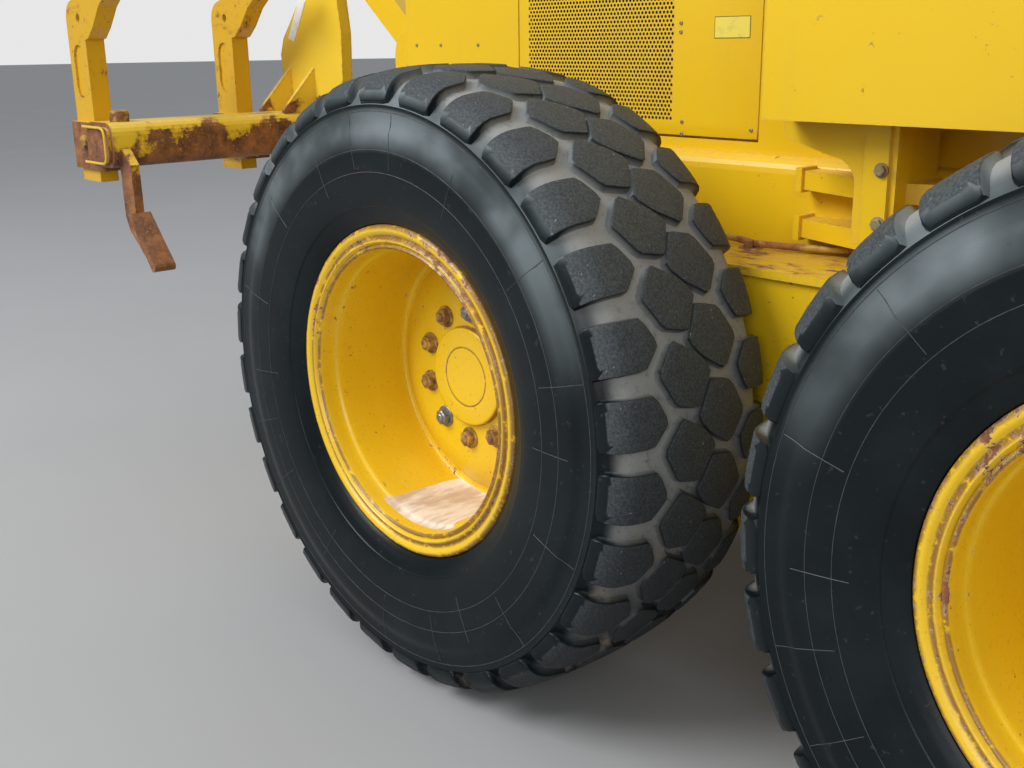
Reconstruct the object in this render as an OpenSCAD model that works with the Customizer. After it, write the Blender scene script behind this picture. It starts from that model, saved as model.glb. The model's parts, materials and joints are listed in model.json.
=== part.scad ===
// Motor grader: rigid rear frame on two tandem cases, hinged to an arched front frame
// that carries the cab, the blade group and a steered front axle; ripper at the rear.
// Millimetres. X points forwards, Y to the left, Z up. Stations along X are measured
// from the middle of the tandem axle and moved by x_mid into the part's own frame.

/* [Wheels] */
// Radius over the tread lugs
tyre_r = 665; // [620:1:720]
// Section width of a tyre
tyre_w = 445; // [400:1:480]
// Radius of the rim's flanges
flange_r = 355; // [345:1:365]
// Width over the rim's flanges
rim_w = 380; // [360:2:400]
// Distance from the centre plane of the machine to a wheel's centre plane
wheel_y = 1040; // [1020:1:1090]
// Radius of the circle of wheel nuts
nut_circle_r = 146; // [138:1:155]
// Number of wheel nuts
nut_count = 10; // [8:1:12]
// Shoulder lugs on each side of a tyre
lug_count = 30; // [24:1:36]

/* [Running gear] */
// Distance between the two wheels of a tandem
tandem_pitch = 1522; // [1500:2:1580]
// Distance from the middle of the tandem to the front axle
wheelbase = 6086; // [6040:2:6160]
// Height of a tandem case
tandem_h = 540; // [520:2:600]
// Width of a tandem case
tandem_w = 200; // [180:2:205]
// Distance from the centre plane to a tandem case's inner face
tandem_in = 580; // [575:1:590]
// Distance from the centre plane to a kingpin
kingpin_y = 715; // [700:1:725]
// Radius of the steering arms, kingpin to tie rod
arm_r = 220; // [200:1:240]

/* [Rear frame and hood] */
// Distance from the centre plane to the outer face of a rail
rail_out = 540; // [530:1:550]
// Width of a rail
rail_w = 100; // [80:1:120]
// Height of a rail's underside
rail_bottom = 810; // [806:1:830]
// Height of a rail's top
rail_top = 1130; // [1110:1:1150]
// Half the width of the hood
hood_half = 500; // [480:1:520]
// Height of the hood's top
hood_top = 1990; // [1940:5:2060]
// Thickness of the hood's walls
hood_wall = 30; // [20:1:40]
// Rear end of the hood
hood_rear = -1640; // [-1660:1:-1600]
// Front end of the hood and of the side tanks
hood_front = 1050; // [1000:5:1060]
// Rear edge of a service opening in the hood's side
door_rear = -1170; // [-1200:1:-1100]
// Front edge of a service opening in the hood's side
door_front = -410; // [-450:1:-380]
// Height of the seam between a fixed side panel and the door over it
door_sill = 1620; // [1560:5:1680]
// Rear end of a side tank
tank_rear = -190; // [-220:1:-150]
// Height of a side tank's underside
tank_bottom = 1227; // [1200:1:1240]
// Height of a side tank's top
tank_top = 1760; // [1700:5:1800]
// Distance from the centre plane to a side tank's outer face
tank_out = 800; // [760:1:805]

/* [Hitch and front frame] */
// Station of the articulation pin
hitch_x = 1550; // [1530:1:1580]
// Radius of the articulation pin
hitch_pin_r = 45; // [35:1:50]
// Half the width of the front frame's beam
beam_half = 155; // [140:1:165]
// Distance from the front axle to the push block's face
nose = 1114; // [1090:1:1130]

/* [Cab] */
// Rear wall of the cab
cab_rear = 1360; // [1350:1:1400]
// Front of the cab
cab_front = 2760; // [2740:1:2765]
// Half the width of the cab
cab_half = 720; // [680:1:730]
// Height of the cab floor's underside
cab_floor = 1450; // [1445:1:1470]
// Height of the roof's underside
cab_eaves = 3180; // [3100:5:3240]
// Thickness of the roof
roof_t = 110; // [80:1:140]
// Width of a door's frame
door_frame = 55; // [40:1:70]
// Thickness of a door
door_t = 45; // [35:1:50]

/* [Blade] */
// Length of the moldboard
blade_l = 3658; // [3400:2:3660]
// Height of the moldboard
blade_h = 610; // [580:1:620]
// Thickness of the moldboard
blade_t = 22; // [18:1:26]
// Radius of the moldboard's curve
blade_curve = 410; // [400:1:440]
// Height of the cutting edge over the ground
blade_z = 80; // [60:1:100]
// Outer radius of the circle
circle_r = 765; // [740:1:770]
// Width of the circle's ring
circle_w = 125; // [100:1:140]
// Station of the circle's centre
circle_x = 3720; // [3700:1:3722]
// Distance from the drawbar's ball to the front axle
ball_gap = 486; // [470:1:500]
// Height of the drawbar's ball
ball_z = 900; // [890:1:910]

/* [Cylinders] */
// Outer radius of a blade lift cylinder
lift_r = 72; // [62:1:75]
// Radius of a blade lift cylinder's rod
lift_rod_r = 40; // [30:1:42]
// Outer radius of the ripper's cylinder
ripper_r = 68; // [58:1:72]
// Radius of the ripper cylinder's rod
ripper_rod_r = 36; // [28:1:40]

/* [Ripper] */
// Front face of the ripper beam
beam_front = -2350; // [-2370:1:-2345]
// Depth of the ripper beam
beam_d = 180; // [160:1:200]
// Height of the ripper beam's section
beam_h = 136; // [120:1:150]
// Half the length of the ripper beam
beam_l = 1090; // [1070:1:1120]
// Distance between the shank pockets
shank_pitch = 510; // [495:1:512]
// Thickness of a ripper shank
shank_t = 60; // [52:1:70]
// Depth of a ripper shank from front to back
shank_d = 130; // [110:1:138]

/* [Hidden] */
$fn = 48;

yellow = "#E0AC1C";
black = "#26262A";
steel = "#B9BCC0";
rust = "#6E4630";
grey = "#4A4C50";
pale = "#A9C4CC";

gap = 5;       // running clearance beside a moving piece
seat = 0.3;    // clearance where a fitted piece rests on another
pin_play = 0.5; // radial clearance of a pin

axle_z = tyre_r;
half_pitch = tandem_pitch / 2;
disc_face = -8;      // outer face of a wheel disc, from the wheel's centre plane
disc_t = 22;         // thickness of a wheel disc
spindle_end = 850;   // outer end of what carries a wheel, from the centre plane

// Ripper linkage, at rest with the beam raised
ripper_low = [-1840, 700];
ripper_high = [-1840, 1330];
link_reach = [-450, 370];
arm_r_end = 52;
carriage_low = ripper_low + link_reach;
carriage_high = ripper_high + link_reach;
ripper_cyl_top = [-1840, 1620];
ripper_cyl_eye = [-2270, 985];
beam_bottom = carriage_low[1] - 62;
pocket_d = shank_d + 45;
shank_x = beam_front - beam_d - 30;          // front face of a shank
x_rear = beam_front - beam_d - pocket_d;
x_front = wheelbase + nose;
x_mid = (x_front + x_rear) / 2;

steer_x = 150;        // from a kingpin forwards to the steering cylinder's eye

// Blade group
ball_x = wheelbase - ball_gap;
ball_r = 62;
blade_edge_x = 3480;
blade_tip_z = blade_z + blade_h;
curve_x = blade_edge_x + sqrt(pow(blade_curve, 2) - pow(blade_h / 2, 2));
curve_z = blade_z + blade_h / 2;
tip_pivot = [3195, 225];
ring_bottom = 740;
ring_top = 830;
lift_top = [3560, 1750];
lift_pin = [3450, 945];
lift_y = 620;
lift_lean = atan2(lift_top[0] - lift_pin[0], lift_top[1] - lift_pin[1]);
lift_len = norm(lift_top - lift_pin);
drawbar_z = 865;
drawbar_h = 135;
saddle_x = [3353, 3680];
bar_half = lift_y - lift_rod_r - 8;   // half the length of the drawbar's crossbar
shift_x = 3300;
shift_top = [-620, 1500];   // y, z of the centre shift cylinder's pin on the saddle
shift_pin = [620, 1060];    // y, z of its pin on the drawbar
shift_lean = atan2(shift_pin[0] - shift_top[0], shift_top[1] - shift_pin[1]);
shift_len = norm(shift_top - shift_pin);
tip_top = [2880, 760];
tip_eye = [2940, 285];
tip_lean = atan2(tip_eye[0] - tip_top[0], tip_top[1] - tip_eye[1]);
tip_len = norm(tip_top - tip_eye);
ripper_lean = atan2(ripper_cyl_eye[0] - ripper_cyl_top[0], ripper_cyl_top[1] - ripper_cyl_eye[1]);
ripper_len = norm(ripper_cyl_top - ripper_cyl_eye);

// Outline helpers
// Points of an arc from angle a to angle b
function arc(c, r, a, b, n = 6) = [for (i = [0:n]) c + r * [cos(a + (b - a) * i / n),
  sin(a + (b - a) * i / n)]];
// A rectangle from low to high with rounded corners
function soft_rect(low, high, r, n = 3) = concat(
  arc([high[0] - r, high[1] - r], r, 0, 90, n), arc([low[0] + r, high[1] - r], r, 90, 180, n),
  arc([low[0] + r, low[1] + r], r, 180, 270, n), arc([high[0] - r, low[1] + r], r, 270, 360, n));
// A bar with round ends between two points
function stadium(a, b, r, n = 8) = let (t = atan2(b[1] - a[1], b[0] - a[0]))
  concat(arc(b, r, t - 90, t + 90, n), arc(a, r, t + 90, t + 270, n));

// An outline of x and z, from y0 to y1
module slab_xz(y0, y1) translate([0, y1, 0]) rotate([90, 0, 0]) linear_extrude(y1 - y0) children();
// An outline of y and z, from x0 to x1
module slab_yz(x0, x1) translate([x0, 0, 0]) rotate([90, 0, 90]) linear_extrude(x1 - x0) children();
// An outline of x and y, from z0 to z1
module slab_xy(z0, z1) translate([0, 0, z0]) linear_extrude(z1 - z0) children();
module box(low, high) translate(low) cube(high - low);
module bar_y(p, y0, y1, r) translate([p[0], y1, p[1]]) rotate([90, 0, 0]) cylinder(h = y1 - y0, r = r);
module both_sides() { children(); mirror([0, 1, 0]) children(); }
module placed() translate([-x_mid, 0, 0]) children();

// Wheels. Each is drawn about its own axis, with its outer side up
// Columns: radius, distance outwards from the wheel's centre plane
rim_half = rim_w / 2;
dish_r = 190;     // radius of the flat middle of a wheel disc
cap_r = 110;      // radius of the hub's cap
module rim_profile() polygon([
  [flange_r - 45, rim_half], [flange_r - 15, rim_half + 2], [flange_r, rim_half - 6],
    [flange_r, rim_half - 16],
  [flange_r - 19, rim_half - 24], [flange_r - 37, rim_half - 40], [flange_r - 43, -rim_half + 40],
  [flange_r - 19, -rim_half + 24], [flange_r, -rim_half + 16], [flange_r, -rim_half + 6],
  [flange_r - 15, -rim_half - 2], [flange_r - 50, -rim_half], [flange_r - 57, -rim_half + 40],
  [flange_r - 57, disc_face - 57], [flange_r - 80, disc_face - 56], [flange_r - 115, disc_face - 40],
  [dish_r, disc_face - disc_t], [0, disc_face - disc_t], [0, disc_face], [dish_r, disc_face],
  [dish_r + 25, disc_face - 4], [flange_r - 110, disc_face - 16], [flange_r - 85, disc_face - 34],
  [flange_r - 82, disc_face - 37], [flange_r - 65, disc_face - 34], [flange_r - 63, disc_face + 8],
  [flange_r - 61, rim_half - 65], [flange_r - 59, rim_half - 47], [flange_r - 53, rim_half - 42],
  [flange_r - 52, rim_half - 14], [flange_r - 47, rim_half - 4]]);
module wheel_place(x, side) translate([x, side * wheel_y, axle_z]) rotate([side > 0 ? -90 : 90, 0, 0])
  children();
module rim() {
  rotate_extrude($fn = 96) rim_profile();
  translate([0, 0, disc_face - 1]) cylinder(h = 17, r = cap_r);
  for (i = [0:nut_count - 1]) rotate([0, 0, 15.6 + i * 360 / nut_count]) translate([nut_circle_r, 0,
    disc_face - 1]) {
    cylinder(h = 5, r = 24);
    cylinder(h = 20, r = 18, $fn = 6);
  }
  translate([0, 0, spindle_end + pin_play - wheel_y])
    cylinder(h = wheel_y - spindle_end - pin_play - disc_t + 2, r = 125);
}
// Columns: radius, distance outwards from the wheel's centre plane, for the outer half
bead = 0.5;
tyre_half = tyre_w / 2;
tyre_side = [[flange_r - 37 + bead, rim_half - 41], [flange_r - 19 + bead, rim_half - 25],
  [flange_r + bead, rim_half - 16], [flange_r + bead, rim_half - 2], [flange_r + 45, tyre_half - 11],
  [flange_r + 85, tyre_half - 4], [flange_r + 180, tyre_half], [flange_r + 205, tyre_half - 6],
  [tyre_r - 48, tyre_half - 8], [tyre_r - 37, tyre_half - 14], [tyre_r - 24, tyre_half - 26],
  [tyre_r - 15, tyre_half - 43], [tyre_r - 7, tyre_half - 90], [tyre_r, tyre_half - 170]];
lug_w = 89;           // width of a shoulder lug round the tyre
lug_in = 105;         // inner end of the grooves between the lugs, from the tyre's centre plane
tread_twin = -20.2;   // turn in degrees from the lugs of one side to those of the other
// Groove between two shoulder lugs, from its inner end out through the shoulder
module lug_groove() let (half = (2 * PI * tyre_r / lug_count - lug_w) / 2)
  slab_xz(-half, half) polygon([[tyre_r - 20, lug_in], [tyre_r - 50, tyre_half - 10],
    [tyre_r - 58, tyre_half + 5],
    [tyre_r + 20, tyre_half + 5], [tyre_r + 20, lug_in]]);
// Slanted groove between two inner blocks
module block_groove() rotate([-24, 0, 0]) slab_xz(-7, 7)
  polygon([[tyre_r - 16, -12], [tyre_r - 18, lug_in + 8], [tyre_r + 20, lug_in + 8], [tyre_r + 20, -12]]);
module tyre() {
  half_count = len(tyre_side);
  difference() {
    rotate_extrude($fn = 96) polygon(concat(tyre_side,
      [for (i = [half_count - 1:-1:0]) [tyre_side[i][0], -tyre_side[i][1]]]));
    for (i = [0:lug_count - 1]) rotate([0, 0, (i + 0.5) * 360 / lug_count]) {
      lug_groove();
      block_groove();
      rotate([0, 0, tread_twin]) rotate([180, 0, 0]) {
        lug_groove();
        block_groove();
      }
    }
  }
}
module wheel_tyre(x, side) color(black) wheel_place(x, side) tyre();
module wheel_rim(x, side) color(yellow) wheel_place(x, side) rim();

// Rear frame: two rails, cross members, the hitch's ears and the ripper's lugs
module ripper_lug() slab_xz(300, 340) difference() {
  polygon(concat([[-1739, 620], [-1739, 1420]], arc(ripper_high, 70, 90, -30 + 210, 6),
    arc(ripper_low, 70, 180, 270, 6)));
  translate(ripper_low) circle(r = 30 + pin_play);
  translate(ripper_high) circle(r = 30 + pin_play);
}
module hitch_ear(z0) slab_xy(z0, z0 + 50) difference() {
  polygon(concat([[1200, 380]], [[1200, -380], [1330, -300]], arc([hitch_x, 0], 110, -70, 70, 8),
    [[1330, 300]]));
  translate([hitch_x, 0]) circle(r = hitch_pin_r + pin_play);
}
// Bracket under a tank: an upright bar behind a flared plate, with two arms from the rail
bracket_low = 1000;
bracket_arms = [978, 1075];
module step_bracket() {
  slab_xz(rail_out - 1, rail_out + 150) polygon([[-40, bracket_low], [28, bracket_low],
    [28, tank_bottom], [-40, tank_bottom]]);
  slab_xz(rail_out + 146, rail_out + 160) polygon(concat([[35, bracket_low], [35, tank_bottom],
    [-206, tank_bottom],
    [-206, tank_bottom - 30], [-196, tank_bottom - 42]], arc([-98, tank_bottom - 119], 50, 90, 0, 6),
      [[-48, bracket_low]]));
  slab_xz(rail_out + 158, rail_out + 170) polygon([[-26, bracket_low + 6], [24, bracket_low + 6],
    [24, tank_bottom], [-26, tank_bottom]]);
  for (z = bracket_arms) {
    slab_xy(z, z + 38) polygon([[-235, rail_out - 1], [-235, rail_out + 45], [-40, rail_out + 108],
      [28, rail_out + 108],
      [215, rail_out + 45], [215, rail_out - 1]]);
    for (x = [-247, 213]) box([x, rail_out - 1, z - 6], [x + 14, rail_out + 54, z + 44]);
  }
}
module rear_frame() color(yellow) {
  both_sides() {
    slab_yz(-1690, 1250) polygon(soft_rect([rail_out - rail_w, rail_bottom],
      [rail_out, rail_top], 34, 5));
    ripper_lug();
    step_bracket();
  }
  slab_yz(-1740, -1690) polygon(soft_rect([-rail_out, 600], [rail_out, 1220], 40));
  slab_yz(1150, 1250) polygon(soft_rect([-rail_out, 620], [rail_out, rail_top], 30));
  for (x = [-1050, -350, 350]) box([x - 50, -(rail_out - rail_w) - 1, 860],
    [x + 50, rail_out - rail_w + 1, 960]);
  hitch_ear(640);
  hitch_ear(1060);
  // Mast that holds the ripper's cylinder
  both_sides() slab_xz(60, 95) difference() {
    polygon(concat([[-1740, 1180], [-1690, 1180], [-1690, 1220], [-1740, 1660]],
      arc(ripper_cyl_top, 62, 60, 200, 6), [[-1840, 1400]]));
    translate(ripper_cyl_top) circle(r = 30 + pin_play);
  }
}
module axle_housing() color(yellow) {
  bar_y([0, axle_z], -tandem_in, tandem_in, 138);
  bar_y([0, axle_z], -200, 200, 250);
  both_sides() {
    box([-160, rail_out - rail_w, axle_z - 60], [160, rail_out, rail_bottom]);
    bar_y([0, axle_z], tandem_in - 35, tandem_in, 200);
  }
}
module tandem_cases() color(yellow) both_sides() {
  slab_xz(tandem_in, tandem_in + tandem_w) polygon(stadium([-half_pitch, axle_z], [half_pitch, axle_z],
    tandem_h / 2, 14));
  box([-half_pitch, tandem_in - 5, axle_z + tandem_h / 2 - 4],
    [half_pitch, tandem_in + tandem_w + 12, axle_z + tandem_h / 2 + 12]);
  for (x = [-half_pitch, half_pitch]) bar_y([x, axle_z], tandem_in + tandem_w - 10, spindle_end, 130);
}
module engine_block() color(grey) box([-1150, -300, 960], [-150, 300, 1700]);

// Hood: a shell over the engine, open below and behind the grille
module hood_outline(inset) polygon([[-hood_half + inset, rail_top - 2 * inset],
  [-hood_half + inset, hood_top - 90],
  [-hood_half + 90, hood_top - inset], [hood_half - 90, hood_top - inset],
    [hood_half - inset, hood_top - 90],
  [hood_half - inset, rail_top - 2 * inset]]);
door_axis = [hood_half + 14, hood_top - 97];   // y, z of the hinge line of a service door
door_knuckles = [door_rear + 70, door_front - 130];
module hinge_knuckle(x, low) {
  translate([x, door_axis[0], door_axis[1]]) rotate([0, 90, 0]) cylinder(h = 60, r = 12);
  box([x, hood_half - 1, door_axis[1] + low], [x + 60, door_axis[0], door_axis[1] + low + 10]);
}
module hood() color(yellow) {
  hood_shell();
  both_sides() {
    for (x = door_knuckles) hinge_knuckle(x - 60.4, 2);
    // Housing of the rear lamps
    translate([hood_rear - 30, 0, 0]) slab_yz(0, 32) polygon(soft_rect([lamp_y - 34, 1560],
      [lamp_y + 34, 1760], 14));
  }
}
panel_low = rail_top + 28;                     // lower edge of a fixed side panel
lamp_y = 448;                                  // a rear lamp from the centre plane
module hood_shell() difference() {
  slab_yz(hood_rear, hood_front) hood_outline(0);
  slab_yz(hood_rear + hood_wall, hood_front - hood_wall) hood_outline(hood_wall);
  both_sides() {
    box([door_rear, hood_half - 20, panel_low - 5], [door_front, hood_half + 1, hood_top - 95]);
    box([door_rear + 25, hood_half - hood_wall - 1, panel_low + 20],
      [door_front - 25, hood_half, hood_top - 125]);
  }
  box([hood_rear - 1, -400, 1240], [hood_rear + hood_wall + 1, 400, 1800]);
}
// Fixed side panels with rows of holes
hole_pitch = 48;
hole_low = 1200;
hole_rows = floor((door_sill - 60 - hole_low) / hole_pitch);
module side_panels() color(yellow) both_sides() slab_xz(hood_half - 20 + seat, hood_half) difference() {
  polygon(soft_rect([door_rear + 3, panel_low], [door_front - 3, door_sill - 3], 6));
  for (i = [0:9], j = [0:hole_rows]) translate([door_rear + 70 + i * hole_pitch + (j % 2)
    * hole_pitch / 2, hole_low + j * hole_pitch])
    circle(r = 15, $fn = 8);
}
module rear_grille() color(grey) {
  difference() {
    box([hood_rear - 6, -400 + seat, 1240 + seat], [hood_rear + 20, 400 - seat, 1800 - seat]);
    for (i = [0:9]) box([hood_rear - 7, -370, 1262 + i * 53], [hood_rear + 21, 370, 1262 + i * 53 + 30]);
  }
}
module stacks() color(grey) {
  translate([-560, 170, hood_top]) { cylinder(h = 20, r = 110); cylinder(h = 430, r = 78);
    cylinder(h = 640, r = 52); }
  translate([-900, -150, hood_top]) { cylinder(h = 150, r = 62);
    translate([0, 0, 150]) cylinder(h = 140, r = 115); translate([0, 0, 290]) cylinder(h = 40, r = 75); }
}
module side_tanks() color(yellow) both_sides() {
  slab_yz(tank_rear, hood_front) polygon([[hood_half + seat, tank_bottom], [tank_out, tank_bottom],
    [tank_out, tank_top - 60], [tank_out - 60, tank_top], [hood_half + seat, tank_top]]);
  translate([500, 640, tank_top - 1]) cylinder(h = 60, r = 55);
}
module engine_door() {
  slab_xz(hood_half - 20 + 0.5, hood_half) polygon(soft_rect([door_rear + 3, door_sill + 3],
    [door_front - 3, hood_top - 100], 6));
  for (x = door_knuckles) hinge_knuckle(x, -12);
}

// Front frame: one arched box beam from the hitch to the front axle
nose_x = x_front - 420;      // rear end of the push block
frame_line = [[1690, 700], [1990, 715], [2880, 1390], [3060, 1500], [3400, 1600], [4700, 1600],
  [ball_x - 120, 1260],
  [wheelbase - 236, 1000], [wheelbase + 234, 1000], [wheelbase + 414, 1060], [nose_x, 1060],
    [nose_x, 1380],
  [ball_x - 40, 1590], [4700, 1940], [3180, 1940], [2900, 1700], [2790, 1440], [2080, 1440],
    [1690, 1200]];
module front_frame() color(yellow) {
  slab_xz(-beam_half, beam_half) polygon(frame_line);
  slab_xy(695, 1055) difference() {
    polygon(concat([[1700, 130]], arc([hitch_x, 0], 105, 70, 290, 10), [[1700, -130]]));
    translate([hitch_x, 0]) circle(r = hitch_pin_r - 5);
  }
  translate([hitch_x, 0, 600]) cylinder(h = 560, r = hitch_pin_r);
  // Bracket for the drawbar's ball
  difference() {
    slab_xz(-90, 90) polygon([[ball_x + 14, 1190], [ball_x + 230, 1020], [ball_x + 200, 830],
      [ball_x + 14, 820]]);
    translate([ball_x, 0, ball_z]) sphere(r = ball_r + pin_play, $fn = 32);
  }
}
// Yoke that clasps the beam and holds the lift cylinders and the centre shift cylinder
module lift_saddle() color(yellow) {
  both_sides() {
    box([saddle_x[0], beam_half, 1530], [saddle_x[1], beam_half + 45, 1990]);
    difference() {
      box([lift_top[0] - 70, beam_half + 40, 1680], [lift_top[0] + 70, lift_y - lift_r - 20, 1820]);
      bar_y(lift_top, lift_y - lift_r - 130, lift_y, 34 + pin_play);
    }
  }
  box([saddle_x[0], -beam_half - 45, 1940], [saddle_x[1], beam_half + 45, 1990]);
  difference() {
    slab_yz(saddle_x[0], saddle_x[0] + 47) polygon(concat([[-beam_half, 1535], [-beam_half, 1760]],
      arc(shift_top, 60, 100, 260, 8)));
    translate([3300, shift_top[0], shift_top[1]]) rotate([0, 90, 0]) cylinder(h = 101, r = 26 + pin_play);
  }
}
module push_block() color(yellow) difference() {
  slab_xy(930, 1340) polygon([[nose_x, -330], [x_front - 60, -430], [x_front, -380], [x_front, 380],
    [x_front - 60, 430],
    [nose_x, 330]]);
  for (y = [-300, 300], z = [1000, 1270]) translate([x_front - 60, y, z]) rotate([0, 90, 0])
    cylinder(h = 61, r = 13);
}

// Front axle: an arched beam with an eye at each end for the kingpin
module front_axle() color(yellow) translate([wheelbase, 0, 0]) {
  slab_yz(-110, 110) polygon([[-600, 770], [-560, 800], [-200, 960], [-150, 1000], [150, 1000],
    [200, 960], [560, 800],
    [600, 770], [600, 565], [520, 565], [200, 780], [-200, 780], [-520, 565], [-600, 565]]);
  both_sides() {
    difference() {
      union() {
        box([-55, 590, 565], [55, kingpin_y, 770]);
        translate([0, kingpin_y, 565]) cylinder(h = 205, r = 55);
      }
      translate([0, kingpin_y, 560]) cylinder(h = 220, r = 28 + pin_play);
    }
    difference() {
      union() {
        translate([steer_x, 60, 602]) rotate([-90, 0, 0]) cylinder(h = 340, r = 42);
        box([90, 80, 570], [steer_x, 140, 640]);
        box([90, 300, 600], [steer_x, 360, 700]);
      }
      translate([steer_x, 80, 602]) rotate([-90, 0, 0]) cylinder(h = 330, r = 20 + pin_play);
    }
  }
}
module knuckle(side) color(yellow) translate([wheelbase, 0, 0]) mirror([0, side > 0 ? 0 : 1, 0]) {
  for (z = [515, 775]) slab_xy(z, z + 45) polygon(concat(arc([0, kingpin_y], 58, 180, 360, 8),
    [[70, 790], [-70, 790]]));
  translate([0, kingpin_y, 515]) cylinder(h = 300, r = 28);
  box([-70, 785, 515], [70, 832, 820]);
  bar_y([0, axle_z], 825, spindle_end, 110);
  // Arms for the tie rod behind and the cylinder in front
  slab_xy(515, 550) difference() {
    polygon(stadium([-arm_r, kingpin_y], [steer_x, kingpin_y], 38, 6));
    translate([-arm_r, kingpin_y]) circle(r = 16 + pin_play);
  }
}
module tie_rod() color(grey) translate([wheelbase - arm_r, 0, 0]) {
  translate([0, 0, 490]) rotate([90, 0, 0]) cylinder(h = 2 * kingpin_y - 60, r = 20, center = true);
  both_sides() translate([0, kingpin_y, 470]) {
    cylinder(h = 40, r = 36);
    cylinder(h = 88, r = 16);
  }
}
module steering_rod(side) color(steel) translate([wheelbase + steer_x, 0, 0]) mirror([0,
  side > 0 ? 0 : 1, 0]) {
  translate([0, 230, 602]) rotate([-90, 0, 0]) cylinder(h = kingpin_y - 230, r = 20);
  translate([0, kingpin_y, 555]) cylinder(h = 92, r = 34);
}

// Cab: floor, posts, roof and glass
post = 80;
door_hinge_x = 1960;
door_hinge_z = [cab_floor + 560, 2700];
module cab_base() color(yellow) {
  difference() {
    box([cab_rear, -cab_half, cab_floor], [cab_front, cab_half, cab_floor + 480]);
    box([cab_rear + 40, -cab_half + 40, cab_floor + 50],
      [cab_front - 40, cab_half - 40, cab_floor + 481]);
    both_sides() box([door_hinge_x, cab_half - 60, cab_floor + 50],
      [cab_front + 1, cab_half + 1, cab_floor + 481]);
    box([cab_front - 41, -cab_half - 1, cab_floor + 90], [cab_front + 1, cab_half + 1, cab_floor + 481]);
  }
  box([1800, -120, 1440], [2000, 120, cab_floor]);
  box([2400, -120, 1440], [2600, 120, cab_floor]);
}
module cab_posts() color(yellow) both_sides() {
  box([cab_rear, cab_half - post, cab_floor + 480], [cab_rear + post, cab_half, cab_eaves]);
  box([door_hinge_x - post, cab_half - post, cab_floor + 480], [door_hinge_x, cab_half, cab_eaves]);
  box([cab_front - 60, cab_half - post, cab_floor + 90], [cab_front, cab_half, cab_eaves]);
  // Hinges that the doors hang on
  for (z = door_hinge_z) {
    translate([door_hinge_x + 2.5, cab_half + 13, z - 60.4]) cylinder(h = 60, r = 12);
    box([door_hinge_x - 40, cab_half - 1, z - 60.4], [door_hinge_x + 1, cab_half + 13, z - 0.4]);
  }
}
module cab_roof() color(yellow) intersection() {
  slab_xz(-cab_half - 30, cab_half + 30) polygon(soft_rect([cab_rear - 50, cab_eaves],
    [cab_front + 60, cab_eaves + roof_t], 40));
  slab_yz(cab_rear - 60, cab_front + 70) polygon(soft_rect([-cab_half - 30, cab_eaves],
    [cab_half + 30, cab_eaves + roof_t], 45));
}
glass_t = 8;
module cab_glass() color(pale, 0.4) {
  box([cab_front - 30, -cab_half + post, cab_floor + 90],
    [cab_front - 30 + glass_t, cab_half - post, cab_eaves]);
  box([cab_rear + 20, -cab_half + post, cab_floor + 480],
    [cab_rear + 20 + glass_t, cab_half - post, cab_eaves]);
  both_sides() box([cab_rear + post, cab_half - 40, cab_floor + 480],
    [door_hinge_x - post, cab_half - 40 + glass_t, cab_eaves]);
}
module cab_interior() color(grey) {
  box([1480, -260, cab_floor + 50], [1980, 260, cab_floor + 330]);
  box([1500, -240, cab_floor + 330], [1960, 240, cab_floor + 430]);
  slab_xz(-230, 230) polygon([[1500, cab_floor + 430], [1600, cab_floor + 430], [1540, 2600],
    [1450, 2600]]);
  slab_xz(-90, 90) polygon([[2350, cab_floor + 50], [2520, cab_floor + 50], [2440, 2330], [2360, 2330]]);
  both_sides() box([1560, 290, cab_floor + 50], [1960, 400, cab_floor + 650]);
}
module cab_door() {
  for (z = door_hinge_z) {
    translate([door_hinge_x + 2.5, cab_half + 13, z]) cylinder(h = 90, r = 12);
    box([door_hinge_x + gap + 1, cab_half - 1, z], [door_hinge_x + 60, cab_half + 13, z + 90]);
  }
  cab_door_leaf();
}
module cab_door_leaf() difference() {
  box([door_hinge_x + gap, cab_half - door_t, cab_floor + 55],
    [cab_front - 65, cab_half, cab_eaves - gap]);
  box([door_hinge_x + gap + door_frame, cab_half - door_t - 1, cab_floor + 130],
    [cab_front - 65 - door_frame, cab_half + 1, 2150]);
  box([door_hinge_x + gap + door_frame, cab_half - door_t - 1, 2230],
    [cab_front - 65 - door_frame, cab_half + 1, cab_eaves - gap - 60]);
}
module door_glass() for (z = [[cab_floor + 130, 2150], [2230, cab_eaves - gap - 60]])
  box([door_hinge_x + gap + door_frame + seat, cab_half - 26, z[0] + seat],
    [cab_front - 65 - door_frame - seat, cab_half - 26 + glass_t, z[1] - seat]);
module ladders() color(grey) both_sides() {
  for (x = [1800, 2038]) slab_yz(x, x + 12) polygon([[640, cab_floor], [716, cab_floor], [860, 1250],
    [860, 720], [800, 720], [800, 1220], [640, 1380]]);
  for (z = [730, 960, 1190]) box([1812, 800, z], [2038, 860, z + 30]);
  // Handrail behind a door
  translate([1845, 790, 1560]) cylinder(h = 840, r = 15);
  for (z = [1600, 2360]) bar_y([1845, z], cab_half + seat, 790, 13);
}

// Lamps on the front body: four under the roof's front edge, two on stalks over the front frame
bar_z = 1640;       // height of the head lamps' bar
bar_x0 = ball_x + 350;
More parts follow.
